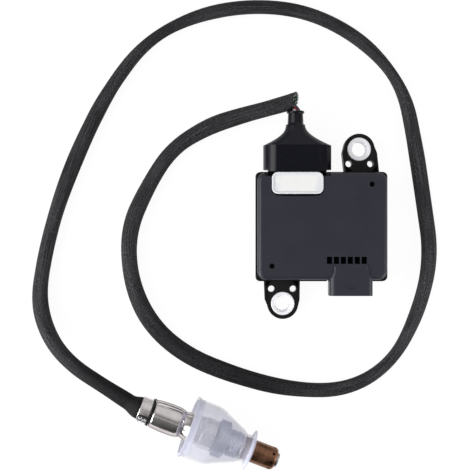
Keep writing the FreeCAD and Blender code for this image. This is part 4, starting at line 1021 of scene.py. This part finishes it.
# %% The transport cap
def milky_plastic(name, colour, cover, thick_cover, rim_end, flange_start):
    """See-through plastic, denser in the solid rim and in the flange at the other end."""
    material, tree, shader = new_finish(name)
    place = place_from(tree, PROBE_START, PROBE_TURN)
    along = part_of(tree, place, "X")
    rim = level(tree, along, 1, 0, rim_end - 0.3 * MM, rim_end + 0.3 * MM)
    flange = level(tree, along, 0, 1, flange_start - 0.3 * MM, flange_start + 0.3 * MM)
    thick = reckon(tree, "MAXIMUM", rim, flange)
    cloud = noise(tree, place, 90)
    shaded = between(tree, cloud, [c * 0.94 for c in colour], colour)
    tree.links.new(shaded, shader.inputs["Base Color"])
    covered = level(tree, thick, cover, thick_cover, start=0, end=1)
    tree.links.new(covered, shader.inputs["Alpha"])
    tree.links.new(level(tree, cloud, 0.2, 0.3), shader.inputs["Roughness"])
    relief(tree, shader, noise(tree, place, 700, detail=1), 0.02 * MM)
    return material


milky_cap = milky_plastic(
    "milky_cap", (0.78, 0.79, 0.93), cover=0.27, thick_cover=0.6, rim_end=4.2 * MM,
    flange_start=36.8 * MM,
)
dress_smooth(milky_cap, "protective_cap")
print("cap dressed")

# %% [markdown]
# ## Ground and light
#
# The photograph is a plain studio picture on white: soft light from all round, brighter low down
# on the left, and hardly a shadow. A plain floor turns white only under so much light that the
# pale parts of the object lose their shading. So the ground throws little light back, while the
# camera, gloss and glass see a white of its own, with a faint shadow on it. It lies 0.2 mm under
# the object, so that no two faces share a plane.

# %% Ground
GROUND_HALF, GROUND_DROP = 40, 0.2 * MM
ground_white, tree, shader = new_finish("ground_white")
set_sockets(shader, Base_Color=(0.12, 0.12, 0.12, 1), Roughness=0.9)
rays = add(tree, "ShaderNodeLightPath").outputs
seen = reckon(tree, "MAXIMUM", rays["Is Camera Ray"], rays["Is Glossy Ray"])
seen = reckon(tree, "MAXIMUM", seen, rays["Is Transmission Ray"])
glow = add(tree, "ShaderNodeEmission", {"Color": (1, 1, 1, 1), "Strength": 0.94})
shadowed = add(tree, "ShaderNodeBsdfDiffuse", {"Color": (0.08, 0.08, 0.08, 1)})
white = add(tree, "ShaderNodeAddShader", {0: glow.outputs[0], 1: shadowed.outputs[0]})
choice = add(
    tree, "ShaderNodeMixShader", {0: seen, 1: shader.outputs[0], 2: white.outputs[0]}
)
tree.links.new(choice.outputs[0], tree.nodes["Material Output"].inputs["Surface"])
bm = bmesh.new()
bmesh.ops.create_grid(
    bm, x_segments=1, y_segments=1, size=GROUND_HALF,
    matrix=Matrix.Translation((0, 0, -GROUND_DROP)),
)
ground = make_piece("ground", bm, ground_white)
print("ground of", 2 * GROUND_HALF, "m")

# %% [markdown]
# The sky is a soft world: weak in front, stronger at the back, with three bright patches and a
# tube in it. Lamps could give the same light, but a world costs less time and has no edges. The
# two patches on the left draw the light line on the boot's round end, the one at the back lights
# the upper half of the probe's shell, and the thin tube of light overhead draws the fine line
# along the shell's middle.

# %% Patches of light in the sky
world = bpy.data.worlds.new("studio")
bpy.context.scene.world = world
world.use_nodes = True
tree = world.node_tree
way = add(tree, "ShaderNodeTexCoord").outputs["Generated"]


def share_along(direction):
    """How far each way in the sky points along this direction: 1 straight at it."""
    node = add(tree, "ShaderNodeVectorMath", {0: way, 1: direction}, operation="DOT_PRODUCT")
    return node.outputs["Value"]


def soft_light(direction, strength, edge, full):
    """A soft round light. It begins edge degrees from its middle and is whole at full degrees."""
    near = share_along(Vector(direction).normalized())
    start, end = math.cos(math.radians(edge)), math.cos(math.radians(full))
    return level(tree, near, 0, strength, start, end)


def tube_light(across, offset, strength, width):
    """A thin straight light over the object, where the share along this direction is offset."""
    off = reckon(tree, "ABSOLUTE", reckon(tree, "SUBTRACT", share_along(across), offset))
    return level(tree, off, strength, 0, 0.3 * width, width)


# %% Sky
sky = level(tree, part_of(tree, way, "Y"), 0.07, 0.33, start=-0.9, end=0.2)
for light in (
    soft_light((0.37, 0.67, 0.64), strength=0.45, edge=42, full=22),
    soft_light((-0.62, 0.04, 0.78), strength=3.0, edge=24, full=12),
    soft_light((-0.88, 0.0, 0.48), strength=1.3, edge=24, full=8),
    tube_light(PROBE_LOW, offset=0.156, strength=0.3, width=0.09),
):
    sky = reckon(tree, "ADD", sky, light)
background = tree.nodes["Background"]
tree.links.new(sky, background.inputs["Strength"])
background.inputs["Color"].default_value = (1, 1, 1, 1)
print("sky of", len(tree.nodes), "nodes")

# %% [markdown]
# Two softboxes stand low and close by, one on each side. Lamps far away would light the whole
# object alike. The light of near ones falls off over it as it does in the photograph: the loops
# are light on their outer sides and dark on their inner ones.

# %% Softboxes
def softbox(name, place, aim, size, power):
    """A rectangular lamp at this place that looks at its aim. Lengths in metres, power in watts."""
    lamp = bpy.data.lights.new(name, "AREA")
    lamp.shape = "RECTANGLE"
    lamp.size, lamp.size_y = size
    lamp.energy = power
    holder = bpy.data.objects.new(name, lamp)
    holder.location = place
    to_aim = Vector(aim) - Vector(place)
    holder.rotation_euler = to_aim.to_track_quat("-Z", "Y").to_euler()
    bpy.context.scene.collection.objects.link(holder)


softbox(
    "left_softbox", (-0.42, -0.22, 0.19), aim=(-0.1, -0.02, 0), size=(0.36, 0.2), power=1.9
)
softbox("right_softbox", (0.26, -0.15, 0.15), aim=(0.02, 0, 0), size=(0.24, 0.14), power=0.6)
print("softboxes", len(bpy.data.lights))
